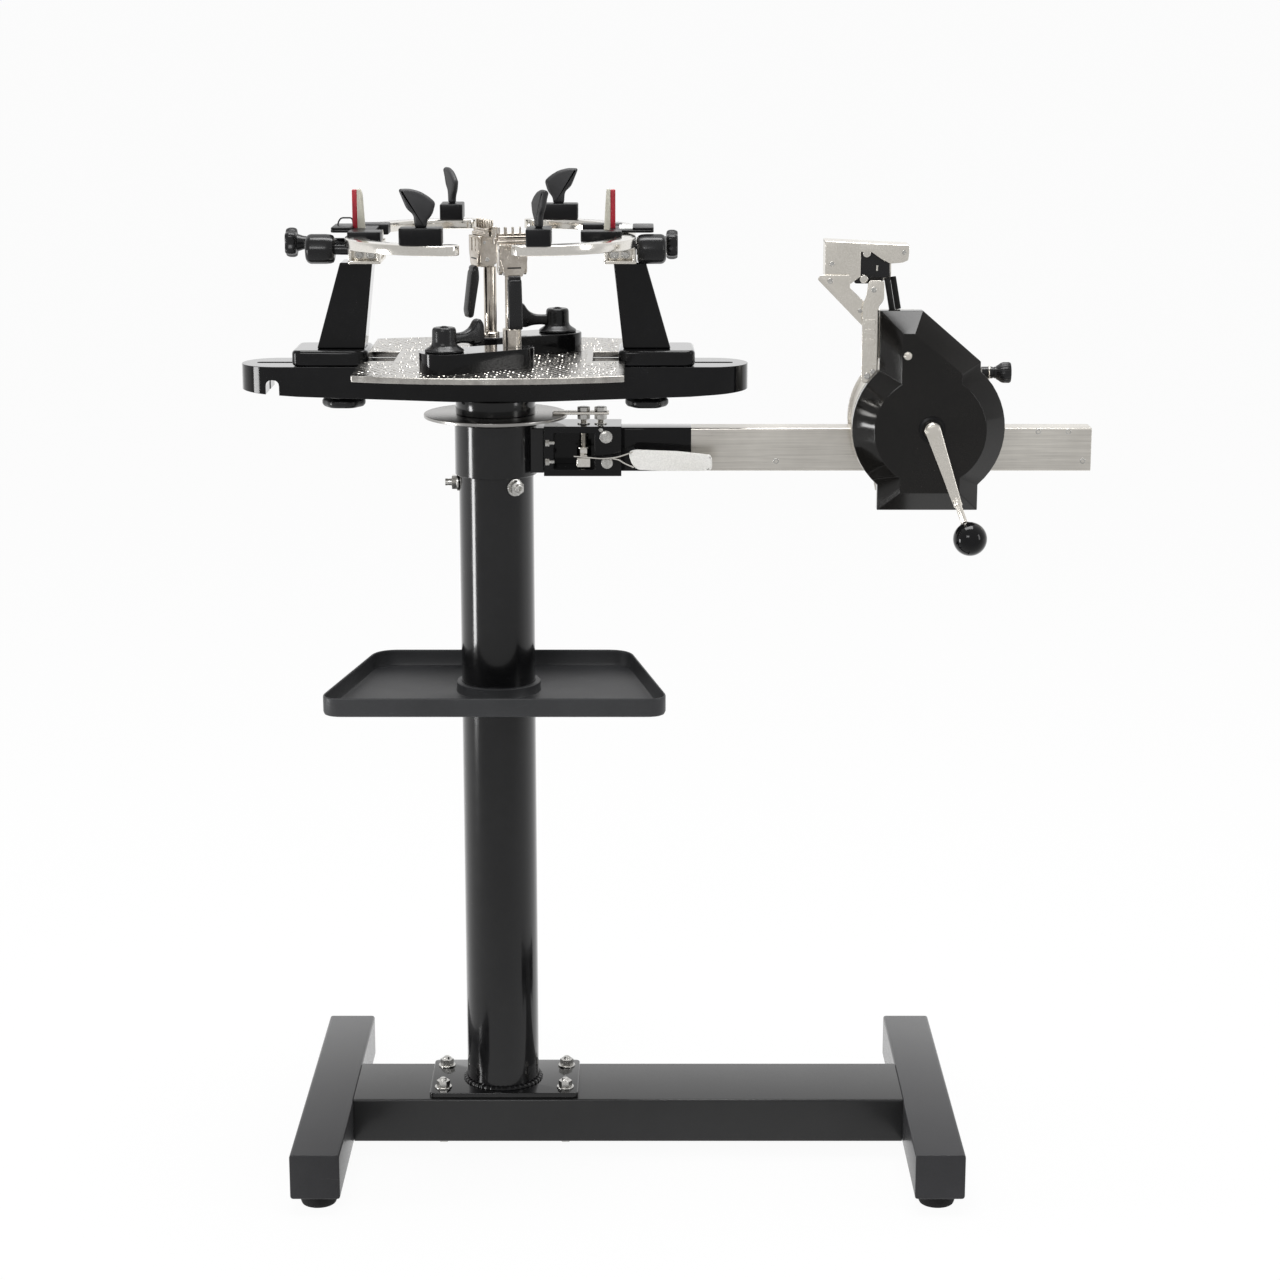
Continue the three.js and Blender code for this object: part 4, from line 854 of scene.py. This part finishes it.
def make_star_knob(side, sign):
    """The star knob that closes the arms: five lobes, a tapered collar and a plated screw through it."""
    node = f"star_knob_{side}"
    low, high = corners(node)
    inner, outer = ends(node, sign)
    _, y, z = middle(node)
    length, radius = abs(outer - inner), (high[1] - low[1]) / 2
    grip, end = length - 0.013, length - 0.0004
    head = eased([[0, grip], [radius * 0.62, grip], [radius * 0.92, grip + 0.001], [radius, grip + 0.004],
                  [radius, grip + 0.009], [radius * 0.9, end], [radius * 0.5, end],
                  [radius * 0.42, length - 0.0014], [0, length - 0.0014]], 0.0014, 4, closed=False)
    collar = eased([[0, grip - 0.016], [0.0062, grip - 0.016], [0.0072, grip - 0.006], [0.0095, grip + 0.001],
                    [0, grip + 0.001]], 0.001, 3, closed=False)
    tip = np.array([[0, length - 0.006], [0.0026, length - 0.006], [0.0026, end], [0, end]])

    def along(profile, *how):
        """A profile turned about the knob's axis, heights running outwards."""
        return turned(profile * [1, sign], (inner, y, z), "x", *how)

    piece(f"{node}_grip", node, "plastic", along(head, 120, 5, 0.1), along(collar),
          along(soft_bar(0.005, 0, grip, 0.0004)), replaces=(node,))
    piece(f"{node}_screw", node, "zinc", along(tip, 20), along(soft_bar(0.0085, 0.0002, 0.0018, 0.0003)))


def make_centre_stop(side, sign):
    """The centre stop: a tapered ivory fin with a red strip on its outer edge, standing in a foot, over a
    stepped black plate. The right plate carries a pale pad and the left one a wire clip."""
    node = f"centre_stop_{side}"
    top = corners(node)[1][2]
    head_top = corners(f"support_head_{side}")[1][2]
    cap_z = head_top + 0.0113
    near, far = FIN_REACH[side]
    fin = np.array([[near, cap_z - 0.006], [far, cap_z - 0.006], [far, top], [far - 0.004, top],
                    [near + 0.0026, top - 0.006]]) * [sign, 1] + [POST_X, 0]
    piece(f"{node}_fin", node, "ivory", slab(eased(fin, 0.0012, 3), -0.003, 0.003, 0.0008, "xz"),
          replaces=(node,))

    def block(start, end, half, foot, head, *finish):
        """A block between two distances from the post, as wide to the front as to the back."""
        return brick((POST_X + sign * start, -half, foot), (POST_X + sign * end, half, head), *finish)

    piece(f"{node}_strip", node, "red",
          block(far - 0.0002, far + 0.0052, 0.0026, cap_z - 0.010, top - 0.0006, 0.0008, 0.0014, "xz"))
    piece(f"{node}_foot", node, "satin_black",
          block(near - 0.002, far + 0.006, 0.004, head_top - 0.0002, cap_z - 0.0045, 0.0006))
    piece(f"{node}_plate", node, "satin_black",
          block(0.122, 0.168, 0.030, cap_z, cap_z + 0.0026, 0.0007, 0.006),
          block(0.146, 0.168, 0.026, cap_z + 0.002, cap_z + 0.005, 0.0008, 0.004))
    if side == "right":
        piece(f"{node}_pad", node, "pale_pad",
              block(0.1315, 0.1555, 0.022, cap_z + 0.0022, cap_z + 0.0042, 0.0006, 0.003))
    else:
        make_wire_loop(node, cap_z)


def make_wire_loop(node, cap_z):
    """The small wire clip behind the left fin: up, over and down."""
    x0, x1, top = POST_X - 0.164, POST_X - 0.1485, cap_z + 0.0125
    corner = [[x0, 0, cap_z + 0.002], [x0 + 0.001, 0, top - 0.004], [x0 + 0.004, 0, top], [x1, 0, top],
              [x1 + 0.0018, 0, cap_z + 0.002]]
    path = eased(corner, 0.0025, 6, closed=False) + [0, 0.006, 0]
    piece(f"{node}_wire", node, "satin_black", swept(path, circle(0.0008, 10), (0, 1, 0)))


def make_arm(row, side, sign, row_sign):
    """An arm is one flat band: its outer arc, a round tip, its inner arc, and a boss round the pivot."""
    node = f"side_arm_{row}_{side}"
    low, high = corners(node)
    centre, pivot = np.array(ARM_CENTRE), np.array(ARM_PIVOT)
    start = np.arctan2(*(pivot - centre)[::-1])
    end = start - ARM_SWEEP
    reach = np.hypot(*(pivot - centre))
    half, boss = 0.011, 0.013
    outer = centre + (reach + half) * direction(start, end, 44)
    inner = centre + (reach - half) * direction(end, start, 44)
    tip = centre + reach * direction(end, end, 1) + half * direction(end, end - np.pi, 16)[1:-1]
    root = pivot + boss * direction(start - np.pi, start - 2 * np.pi, 22)
    outline = np.vstack([outer, tip, inner, root])
    outline[:, 0] += POST_X
    band = slab(outline, low[2], high[2], 0.0009)
    piece(f"{node}_band", node, "bright_nickel", mirrored(band, sign, row_sign), replaces=(node,))
    bolt = [round_bar(0.0068, high[2] - 0.0002, high[2] + 0.0008, 0.0003, (POST_X + pivot[0], pivot[1], 0)),
            screw_head((POST_X + pivot[0], pivot[1], high[2] - 0.0002), "z", 0.0045, 0.001)]
    piece(f"{node}_pin", node, "zinc", *[mirrored(shape, sign, row_sign) for shape in bolt])
    shoe_x = SHOE_REACH[side]
    shoe = brick((POST_X + shoe_x[0], -shoe_x[2], high[2] - 0.0065),
                 (POST_X + shoe_x[1], -0.0315, high[2] + 0.0045), 0.0012, 0.003)
    piece(f"{node}_shoe", node, "satin_black", mirrored(shoe, sign, row_sign))


# How far each clamp's base, cam lever and head are turned, in degrees, and from its post to its cam lever
CLAMP_TURNS = {"front": (210.8, 35, 12), "back": (26, 182, -65)}
CLAMP_SPACING = 0.078

# Outlines in millimetres: the frame hook's leaf, the cam lever's paddle and the clamp head's plates
LEAF = [(-6, 0), (-7, 13), (-14, 19), (-18, 28.5), (-22, 38.4), (-10, 38.6), (0, 36), (8.5, 31), (15.3, 25),
        (12, 13.7), (6.4, 7), (6, 0)]
PADDLE = [(4, 6), (18, 8), (28, 7), (34, 4.5), (44, 6), (46, 14), (45.5, 26), (41, 31.5), (36, 30), (31, 22),
          (24, 18.5), (14, 18), (4, 20)]
CLAMP_FACE = [(-8.5, 0.4), (8.5, 0.4), (10.5, 5), (13.8, 17), (13.8, 33), (-13.8, 33), (-13.8, 17),
              (-10.5, 5)]
CLAMP_CHEEK = [(-16, 5), (-9, 1.5), (1, 3), (5.5, 9), (5.5, 33), (-16, 33)]
CLAMP_BLADE = [(-15, -1), (-22.5, -2.5), (-24, -12), (-28.5, -46), (-26.5, -53.4), (-21.5, -52), (-18, -32),
               (-14.5, -12)]


def make_hook(row, side, sign, row_sign):
    """A frame hook: a soft block with a slot along its foot, and a leaf that swells in its middle and thins
    towards its rim. The leaf leans over the racket's frame."""
    node = f"frame_hook_{row}_{side}"
    low, high = corners(node)
    broad = sign == row_sign
    x, y, _ = middle(node)
    block_top = low[2] + 0.017
    half_x, half_y = (0.0215, 0.0125) if broad else (0.0125, 0.0215)
    block = brick((x - half_x, y - half_y, low[2]), (x + half_x, y + half_y, block_top), 0.0014, 0.003)
    outline = millimetres(LEAF)
    outline[:, 1] *= (high[2] - block_top) / outline[:, 1].max()
    outline = eased(outline, 0.0035, 5)
    outline[:, 1] += block_top - 0.0008
    outline[:, 1] = np.minimum(outline[:, 1], high[2] - 0.0003)
    thick, thinning = 0.0036, 0.0042
    layers = []
    for share in np.sin(np.linspace(-np.pi / 2, np.pi / 2, 11)):
        shrink = thinning * (1 - np.sqrt(1 - 0.97 * share ** 2))
        layers.append(laid(*inset(outline, shrink).T, thick * share, "xz"))
    leaf = rings(np.stack(layers))
    turn = (0 if broad else 112) + (0 if row_sign < 0 else 180)
    piece(f"{node}_leaf", node, "soft_grip", *stood([leaf], turn, [x, y, 0]), replaces=(node,),
          sharp=LEAF_ANGLE)
    piece(f"{node}_block", node, "satin_black", block)


def make_clamps():
    """The string clamps: each has a base with a cam lever, and a post with a collar that carries the head."""
    radius, collar_radius, lip = 0.0068, 0.0096, 0.001
    for row, (base_turn, cam_turn, head_turn) in CLAMP_TURNS.items():
        dressed(f"clamp_base_{row}", "gloss_black", 0.0022, 4)
        node = f"clamp_post_{row}"
        low, high = corners(node)
        place = np.array([*middle(node)[:2], 0])
        base_top = corners(f"clamp_base_{row}")[1][2]
        bearing = np.radians(base_turn)
        knob = place + CLAMP_SPACING * np.array([np.cos(bearing), np.sin(bearing), 0])
        make_cam_lever(f"cam_lever_{row}", cam_turn, knob + [0, 0, base_top])
        piece(f"{node}_rod", node, "clamp_nickel",
              round_bar(radius, low[2], high[2], 0.0004, place, sides=56), replaces=(node,))
        foot = base_top + 0.0003
        top = foot + (0.019 if row == "front" else 0.004)
        piece(f"{node}_collar", node, "clamp_nickel",
              turned([(radius, foot), (collar_radius, foot), (collar_radius, top - lip),
                      (collar_radius - lip, top), (radius, top)], place, sides=56, hollow=True))
        make_clamp_head(row, head_turn, place + [0, 0, high[2]])


def make_cam_lever(node, turn, place):
    """The lever that locks a clamp's base: a flared hub, an arm, and a paddle with a narrow waist."""
    hub = eased(millimetres([(0, 0.1), (20, 0.1), (20, 2.4), (16.5, 4.6), (13.2, 7), (12.4, 10), (12.2, 22.6),
                             (10.8, 25), (0, 25)]), 0.0016, 4, closed=False)
    arm = slab(eased(millimetres(PADDLE), 0.0035, 5), -0.0052, 0.0052, 0.0026, "xz", 4)
    piece(f"{node}_handle", node, "plastic", *stood([turned(hub, ORIGIN, sides=72), arm], turn, place),
          replaces=(node,), sharp=LEVER_ANGLE)
    pin = [round_bar(0.0045, 0.0247, 0.0256, 0.0003, ORIGIN), hexagon(ORIGIN, "z", 0.005, 0.0255, 0.0262)]
    piece(f"{node}_pin", node, "satin_black", *stood(pin, turn, place))


def make_clamp_head(row, turn, place):
    """The clamp's head: a front plate with a tapered chin and a dark strip that paints the shade in its slit,
    a body between two cheeks, two jaws with thin teeth, and a black lever that leans forward from its hinge."""
    node = f"clamp_head_{row}"
    lever = f"clamp_lever_{row}"
    body = [slab(eased(millimetres(CLAMP_FACE), 0.0012, 3), -0.0182, -0.0156, 0.0005, "xz"),
            brick((-0.0118, -0.0158, 0.0055), (0.0118, 0.0045, 0.0318), 0.0008),
            brick((-0.0085, -0.014, 0.0002), (0.0085, 0.002, 0.0058), 0.0008)]
    cheek = eased(millimetres(CLAMP_CHEEK), 0.0012, 3)
    body += [slab(cheek, sign * 0.0116, sign * 0.0138, 0.0005, "yz") for sign in (-1, 1)]
    body += [brick((x - 0.0009, -0.0188, 0.017), (x + 0.0009, -0.018, 0.031), 0.0003)
             for x in (-0.0055, 0.0045)]
    foot, tooth_top, thick = 0.0322, 0.0498, 0.0013
    jaws = []
    for front, back, top, half, tooth_y in ((-0.0135, -0.0068, 0.041, 0.0165, -0.0082),
                                            (-0.0052, 0.0012, 0.0432, 0.018, -0.0038)):
        jaws.append(brick((-half, front, foot), (half, back, top - 0.0045), 0.0007))
        jaws.append(brick((-half + 0.0015, front + 0.0012, top - 0.005), (half, back - 0.0006, top), 0.0007))
        jaws += [slab(rectangle(x - 0.0008, x + 0.0008, top - 0.001, tooth_top, 0.0006), tooth_y - thick,
                      tooth_y + thick, 0.0003, "xz", 2) for x in np.linspace(-half + 0.003, half - 0.0012, 5)]
    piece(f"{node}_body", node, "clamp_nickel", *stood(body + jaws, turn, place), replaces=(node,))
    # Painted shade: the slit is not cut, and a thin dark strip laid on the face stands for the shade inside
    # it
    slit_shade = [brick((-0.007, -0.01835, 0.0086), (0.007, -0.0172, 0.0101), 0.0002)]
    piece(f"{node}_slit", node, "satin_black", *stood(slit_shade, turn, place))
    screws = [screw_head((sign * 0.0137, y, z), "x", radius, 0.0011, sign)
              for sign in (-1, 1) for y, z, radius in ((-0.0115, 0.0265, 0.0016), (-0.0085, 0.0085, 0.0024))]
    piece(f"{node}_screws", node, "zinc", *stood(screws, turn, place))
    blade = slab(eased(millimetres(CLAMP_BLADE), 0.0032, 5), -0.007, 0.007, 0.0016, "yz", 4)
    hinge = [blade, rod((-0.0062, -0.0185, -0.0015), (0.0062, -0.0185, -0.0015), 0.0032)]
    piece(f"{lever}_blade", lever, "plastic", *stood(hinge, turn, place), replaces=(lever,),
          sharp=LEVER_ANGLE)


def make_tension_head():
    """The tension head: the carriage on the rail, and what it carries."""
    make_carriage()
    dressed("tension_cover", "cover_black", 0.004, 5)
    make_cover_trim()
    make_crank()
    make_tension_knob()
    make_gripper_post()
    make_gripper_head()
    make_gripper_jaw()


def make_carriage():
    """The carriage behind the cover: two steel plates round a drum, tied by spacers, with black guides that
    run on the rail's front and back."""
    low, high = corners("carriage")
    x, z = low[0] + 0.0791, high[2] - 0.122
    left, right, top = x - 0.0516, x + 0.052, high[2] - 0.0075
    belly = [direction(*np.radians(turns), 22) * 0.0788 + [x, z] for turns in ((-49, 49), (130, 229))]
    outline = np.vstack([[[left + 0.004, low[2] + 0.005], [right - 0.004, low[2] + 0.005]], belly[0],
                         [[x + 0.0505, z + 0.068], [left + 0.042, top], [left + 0.0015, top]], belly[1]])
    front, back, sheet = low[1] + 0.0004, high[1], 0.004
    shapes = [slab(outline, front, front + sheet, 0.0008, "xz"),
              slab(outline, back - sheet, back, 0.0008, "xz"),
              slab(circle(0.0755, 64) + [x, z], front + 0.003, back - 0.003, 0.0008, "xz")]
    piece("carriage_plates", "carriage", "steel", *shapes, replaces=("carriage",))
    places = [(left + 0.010, low[2] + 0.014), (right - 0.010, low[2] + 0.014), (left + 0.010, top - 0.012),
              (left + 0.038, top - 0.012)]
    ties = [rod((a, front + 0.003, b), (a, back + 0.0002, b), 0.005) for a, b in places]
    heads = [screw_head((a, back - 0.0002, b), "y", 0.0046, 0.003, 1) for a, b in places]
    piece("carriage_ties", "carriage", "zinc", *ties, *heads)
    rail_low, rail_high = corners("rail")
    thick, gap, over = 0.006, 0.0006, 0.009
    guides = [brick((left + 0.004, y, rail_low[2] - over), (right - 0.004, y + thick, rail_high[2] + over),
                    0.0012) for y in (rail_low[1] - thick - gap, rail_high[1] + gap)]
    piece("carriage_guides", "carriage", "satin_black", *guides)


def make_cover_trim():
    """A bright line down the cover's left side and round its belly, a screw in its face, and a dark ring
    round the crank's axle."""
    low, high = corners("tension_cover")
    x, z, left = low[0] + 0.080, high[2] - 0.123, low[0] + 0.0263
    belly = direction(np.radians(140), np.radians(214), 26) * 0.0792 + [x, z]
    line = np.vstack([[[left, high[2] - 0.001], [left, high[2] - 0.05]], belly])
    path = np.stack([line[:, 0], np.full(len(line), high[1] + 0.0004), line[:, 1]], axis=1)
    piece("tension_cover_line", "tension_cover", "bright_nickel", swept(path, circle(0.0013, 8), (0, 1, 0)))
    face = low[1]
    screw = (POST_X + 0.4303, face, 0.8977)
    piece("tension_cover_screw", "tension_cover", "nickel",
          round_bar(0.0042, -0.0009, 0.0002, 0.0003, screw, "y"), screw_head(screw, "y", 0.003, 0.0026, -1))
    ring = millimetres([(9.5, 0.4), (9.5, -1.4), (11, -2), (13.4, -1.2), (14, 0.4)])
    piece("tension_cover_ring", "tension_cover", "satin_black",
          turned(ring, (CRANK_X, face, CRANK_Z), "y", 72, hollow=True))


def make_crank():
    """The crank: a hub, an arm that thins towards its end, a bright rod, and a ball with a metal collar."""
    axle = np.array([CRANK_X, 0, CRANK_Z])
    ball = middle("crank_ball")
    across, drop = ball[0] - CRANK_X, CRANK_Z - ball[2]
    turn = -np.degrees(np.arctan2(across, drop))
    plate_back, plate_front, reach = -0.0853, -0.0912, 0.079
    outline = np.vstack([direction(0, np.pi, 15) * 0.0082,
                         direction(np.pi, 2 * np.pi, 11) * 0.0046 - [0, reach]])
    arm = slab(outline + [CRANK_X, CRANK_Z], plate_front, plate_back, 0.0011, "xz")
    hub = [round_bar(0.0086, -0.086, -0.0765, 0.0008, axle, "y"),
           round_bar(0.0062, -0.0925, -0.0905, 0.0005, axle, "y")]
    end = axle + [0, -0.0885, -reach + 0.004]
    tip = axle + [0, ball[1] + 0.006, -np.hypot(across, drop) + 0.0165]
    step = tip - end
    shapes = [arm, *hub, rod(end, tip, 0.0035), rod(end + step * 0.1, end + step * 0.3, 0.0046)]
    piece("crank_arm_plate", "crank_arm", "nickel", *[spun(shape, turn, axle, "y") for shape in shapes],
          replaces=("crank_arm",))
    low, high = corners("crank_ball")
    curve = direction(np.radians(-68), np.radians(90), 26) * ((high[2] - low[2]) / 2 - 0.0002)
    foot = curve[0, 1] - 0.0006
    profile = np.vstack([[0, foot], [curve[0, 0] - 0.0008, foot], curve[:-1], [0, curve[-1, 1]]])
    ahead = spun((step[None], []), turn, axis="y")[0][0]
    points, faces = turned(profile, ORIGIN, sides=64)
    piece("crank_ball_grip", "crank_ball", "gloss_black",
          (turned_to(points, ahead / np.linalg.norm(ahead)) + ball, faces), replaces=("crank_ball",))


def make_tension_knob():
    """The tension dial: a grooved stem that flares into a ribbed head with a dished end."""
    low, high = corners("tension_knob")
    _, y, z = middle("tension_knob")
    head_length = 0.0155
    stem = [(0, -6), (6.2, -6), (6.2, 5.4), (5.6, 6), (5.6, 7), (6.2, 7.6), (6.2, 9.4), (7, 10)]
    head = [(0, 0), (7, 0), (8.2, 2.2), (10.2, 5), (11, 7.5), (11, 13.2), (10.2, 15), (7, 15.5), (6.4, 14.5),
            (0, 14.5)]
    piece("tension_knob_grip", "tension_knob", "plastic",
          turned(millimetres(stem + [(0, 10)]), (low[0], y, z), "x", 48),
          turned(millimetres(head), (high[0] - head_length, y, z), "x", 144, 24, 0.018),
          replaces=("tension_knob",))
    piece("tension_knob_ring", "tension_knob", "bright_nickel",
          washer(0.006, 0.0072, 0.0012, 0.0026, (low[0], y, z), "x"))


def make_gripper_post():
    """The gripper's upright plate with a bent tab, the slanting strut behind it, and their fasteners."""
    node = "gripper_post"
    upright = front_sheet([(384.6, 866), (400.8, 866), (400.8, 945), (407, 952), (407, 972.6), (390.5, 972.6),
                           (388.5, 956), (384.6, 948)], -0.0489, -0.0462, 0.004)
    strut = front_sheet([(337.6, 973.5), (384.7, 925.4), (392, 925.4), (392, 945), (371.6, 964.4),
                         (371.6, 978), (341, 978)], -0.0460, -0.0438, 0.002)
    flange = brick((POST_X + 0.3998, -0.0462, 0.8665), (POST_X + 0.4018, -0.036, 0.9445), 0.0005, plane="yz")
    pads = [brick((POST_X + 0.3868, -0.0494, z), (POST_X + 0.3986, -0.0488, z + 0.006), 0.0003, 0.0025, "xz")
            for z in (0.906, 0.916, 0.926)]
    piece(f"{node}_plate", node, "nickel", upright, strut, flange, *pads, replaces=(node,))
    piece(f"{node}_screws", node, "zinc",
          *face_screws([(390.6, 873.2, 3.4), (396.2, 878, 2.6), (396, 963, 3)], -0.0488, 0.0016),
          *face_screws([(382.3, 941, 2.4)], -0.0459, 0.0016))


def make_gripper_head():
    """The gripper's housing, folded from sheet: a left front wall, a right front strip, a sloping roof, a
    back wall and an end wall. Two rubber rods hang from it."""
    node = "gripper_head"
    wall_left = [(345.5, 1012.6), (345.5, 974), (351, 968.4), (372, 968.4), (382.4, 976), (382.4, 1010.6)]
    strip_right = [(381.6, 1010.6), (381.6, 1001.5), (393.2, 1001.5), (404, 994), (413, 989.5), (426, 990.5),
                   (431.6, 993), (432.4, 1000), (432.4, 1008.2)]
    wall_back = [(346, 1012.4), (346, 968.6), (417, 968.6), (417, 990), (432.4, 992), (432.4, 1008)]
    roof = [(345.5, 1012.7), (345.5, 1010.2), (432.6, 1005.8), (432.6, 1008.3)]
    wall_end = [(345.5, 1012), (345.5, 970), (347.8, 970), (347.8, 1012)]
    sheets = [front_sheet(wall_left, -0.0438, -0.0414), front_sheet(strip_right, -0.0438, -0.0414),
              front_sheet(wall_back, -0.0106, -0.0084), front_sheet(roof, -0.0436, -0.0086, 0.0006),
              front_sheet(wall_end, -0.0425, -0.0088, 0.0006)]
    piece(f"{node}_shell", node, "nickel", *sheets, replaces=(node,))
    piece(f"{node}_screws", node, "zinc",
          *face_screws([(352.6, 989.1, 2.6), (427, 1001, 2.4)], -0.0437, 0.0009, 0.7),
          *face_screws([(350.8, 971.8, 3)], -0.0459, 0.0012))
    rods = [rod((POST_X + x, y, 0.974), (POST_X + x + 0.006, y, 0.9405), 0.0031)
            for x, y in ((0.4105, -0.036), (0.4178, -0.024))]
    piece(f"{node}_rods", node, "rubber", *rods)


def make_gripper_jaw():
    """The black jaw: a stepped cheek with a block behind it, two socket screws and a small bright slot."""
    node = "gripper_jaw"
    low, high = corners(node)
    cheek = front_sheet([(376.4, 1005), (394, 1007.4), (400, 1001), (413, 996), (413, 975), (393, 972.6),
                         (392, 968.3), (376.4, 968.3)], low[1], low[1] + 0.008, 0.0025, 0.0009)
    inner = brick((low[0] + 0.002, low[1] + 0.0095, low[2] + 0.001),
                  (high[0] - 0.001, high[1], high[2] - 0.002), 0.001)
    bridge = brick((low[0] + 0.004, low[1] + 0.006, low[2] + 0.004),
                   (low[0] + 0.012, high[1] - 0.004, high[2] - 0.006), 0.001)
    piece(f"{node}_cheek", node, "plastic", cheek, inner, bridge, replaces=(node,))
    front = low[1] + 0.0002
    slot = brick((POST_X + 0.3988, front - 0.0012, 0.9815), (POST_X + 0.4006, front + 0.0008, 0.9875), 0.0004)
    piece(f"{node}_screws", node, "bright_nickel",
          *face_screws([(388.6, 1000, 4.3), (386, 973.4, 4.3)], front, 0.0045), slot)


# Studio
def seen_share(tree):
    """Two switches: 1 for the camera's own rays, and 1 for the rays of mirrors and glass."""
    path = wire(tree, "ShaderNodeLightPath")
    mirror, glass = path.outputs["Is Glossy Ray"], path.outputs["Is Transmission Ray"]
    seen = wire(tree, "ShaderNodeMath", {0: mirror, 1: glass}, operation="MAXIMUM")
    return path.outputs["Is Camera Ray"], seen.outputs["Value"]


def front_fade(tree, place, start, end, dim):
    """1 behind the object, falling to a dim level in front of it, along a place's Y."""
    parts = wire(tree, "ShaderNodeSeparateXYZ", {"Vector": place})
    fade = wire(tree, "ShaderNodeMapRange", {"Value": parts.outputs["Y"], "From Min": start, "From Max": end,
                                             "To Min": dim, "To Max": 1.0})
    return fade.outputs["Result"]


MIRROR_LEVEL, AMBIENT, WHITEN = 0.62, 0.42, 0.95
FLOOR_HALF = 400.0

# Each lamp: its place, the place that it looks at, its width, height and power
LAMPS = {
    "left_strip": ((-2.2, -0.62, 0.35), (POST_X, 0, 0.62), 0.36, 0.8, 20),
    "key_box": ((-0.9, -2.9, 2.3), (0, 0, 0.85), 1.1, 0.7, 22),
    "fill_box": ((2.6, -1.4, 1.5), (0.1, 0, 0.75), 0.5, 1.4, 12),
    "top_box": ((0, 0.1, 3.0), (0, 0, 0.7), 1.7, 1.1, 62),
}


def make_studio():
    """A white room: the camera and the mirrors see it pale, and only its ambient level and the soft lamps
    light the object."""
    bpy.context.scene.view_settings.view_transform = "Standard"
    make_room()
    make_floor()
    for name, settings in LAMPS.items():
        add_softbox(name, *settings)


def make_room():
    """The world: white for the camera, darker in front for mirrors, and the ambient level for the rest."""
    world = bpy.data.worlds.new("studio")
    bpy.context.scene.world = world
    world.use_nodes = True
    tree = world.node_tree
    back = tree.nodes["Background"]
    camera_ray, mirror_ray = seen_share(tree)
    facing = wire(tree, "ShaderNodeTexCoord").outputs["Generated"]
    room = front_fade(tree, facing, -0.3, 0.8, MIRROR_LEVEL)
    reflected = wire(tree, "ShaderNodeMix", {0: mirror_ray, 2: AMBIENT, 3: room}, data_type="FLOAT")
    level = wire(tree, "ShaderNodeMath", {0: camera_ray, 1: reflected.outputs[0]}, operation="MAXIMUM")
    back.inputs["Color"].default_value = (1, 1, 1, 1)
    tree.links.new(level.outputs["Value"], back.inputs["Strength"])


def make_floor():
    """The floor: matt paper that keeps the object's shadow, and glows for the camera and for mirrors."""
    mesh = bpy.data.meshes.new("floor")
    square = rectangle(-FLOOR_HALF, FLOOR_HALF, -FLOOR_HALF, FLOOR_HALF)
    mesh.from_pydata([(x, y, 0) for x, y in square], [], [(0, 1, 2, 3)])
    floor = bpy.data.objects.new("floor", mesh)
    bpy.context.scene.collection.objects.link(floor)
    paper = bpy.data.materials.new("floor_paper")
    paper.use_nodes = True
    tree = paper.node_tree
    shader = tree.nodes["Principled BSDF"]
    shader.inputs["Base Color"].default_value = (0.92, 0.92, 0.92, 1)
    shader.inputs["Roughness"].default_value = 0.9
    shader.inputs["Specular IOR Level"].default_value = 0.0
    camera_ray, mirror_ray = seen_share(tree)
    place = wire(tree, "ShaderNodeTexCoord").outputs["Object"]
    fade = front_fade(tree, place, -1.1, 0.3, MIRROR_LEVEL)
    whitened = wire(tree, "ShaderNodeMath", {0: camera_ray, 1: WHITEN}, operation="MULTIPLY")
    share = wire(tree, "ShaderNodeMath", {0: whitened.outputs["Value"], 1: mirror_ray}, operation="MAXIMUM")
    level = wire(tree, "ShaderNodeMix", {0: mirror_ray, 2: 1.0, 3: fade}, data_type="FLOAT")
    glow = wire(tree, "ShaderNodeEmission", {"Color": (1, 1, 1, 1), "Strength": level.outputs[0]})
    mixed = wire(tree, "ShaderNodeMixShader", {0: share.outputs["Value"], 1: shader.outputs["BSDF"],
                                               2: glow.outputs["Emission"]})
    tree.links.new(mixed.outputs["Shader"], tree.nodes["Material Output"].inputs["Surface"])
    mesh.materials.append(paper)


def add_softbox(name, place, target, width, height, power):
    """A soft rectangular lamp that looks at a target."""
    lamp = bpy.data.lights.new(name, "AREA")
    lamp.shape = "RECTANGLE"
    lamp.size, lamp.size_y, lamp.energy = width, height, power
    thing = bpy.data.objects.new(name, lamp)
    bpy.context.scene.collection.objects.link(thing)
    thing.location = place
    ahead = np.subtract(target, place)
    thing.rotation_euler = (np.arccos(-ahead[2] / np.linalg.norm(ahead)), 0,
                            np.arctan2(ahead[1], ahead[0]) - np.pi / 2)


def make_camera():
    """The camera at the photograph's place and pitch."""
    data = bpy.data.cameras.new("camera")
    data.lens, data.sensor_width = 78.75, 36.0
    camera = bpy.data.objects.new("camera", data)
    bpy.context.scene.collection.objects.link(camera)
    camera.location = (-0.0288, -2.9558, 1.2773)
    camera.rotation_euler = (np.radians(76.7), 0, 0)
    bpy.context.scene.camera = camera


make_camera()
make_studio()
make_stand()
make_post()
make_tray()
make_head()
make_brake()
make_turntable()
make_supports()
make_clamps()
make_tension_head()
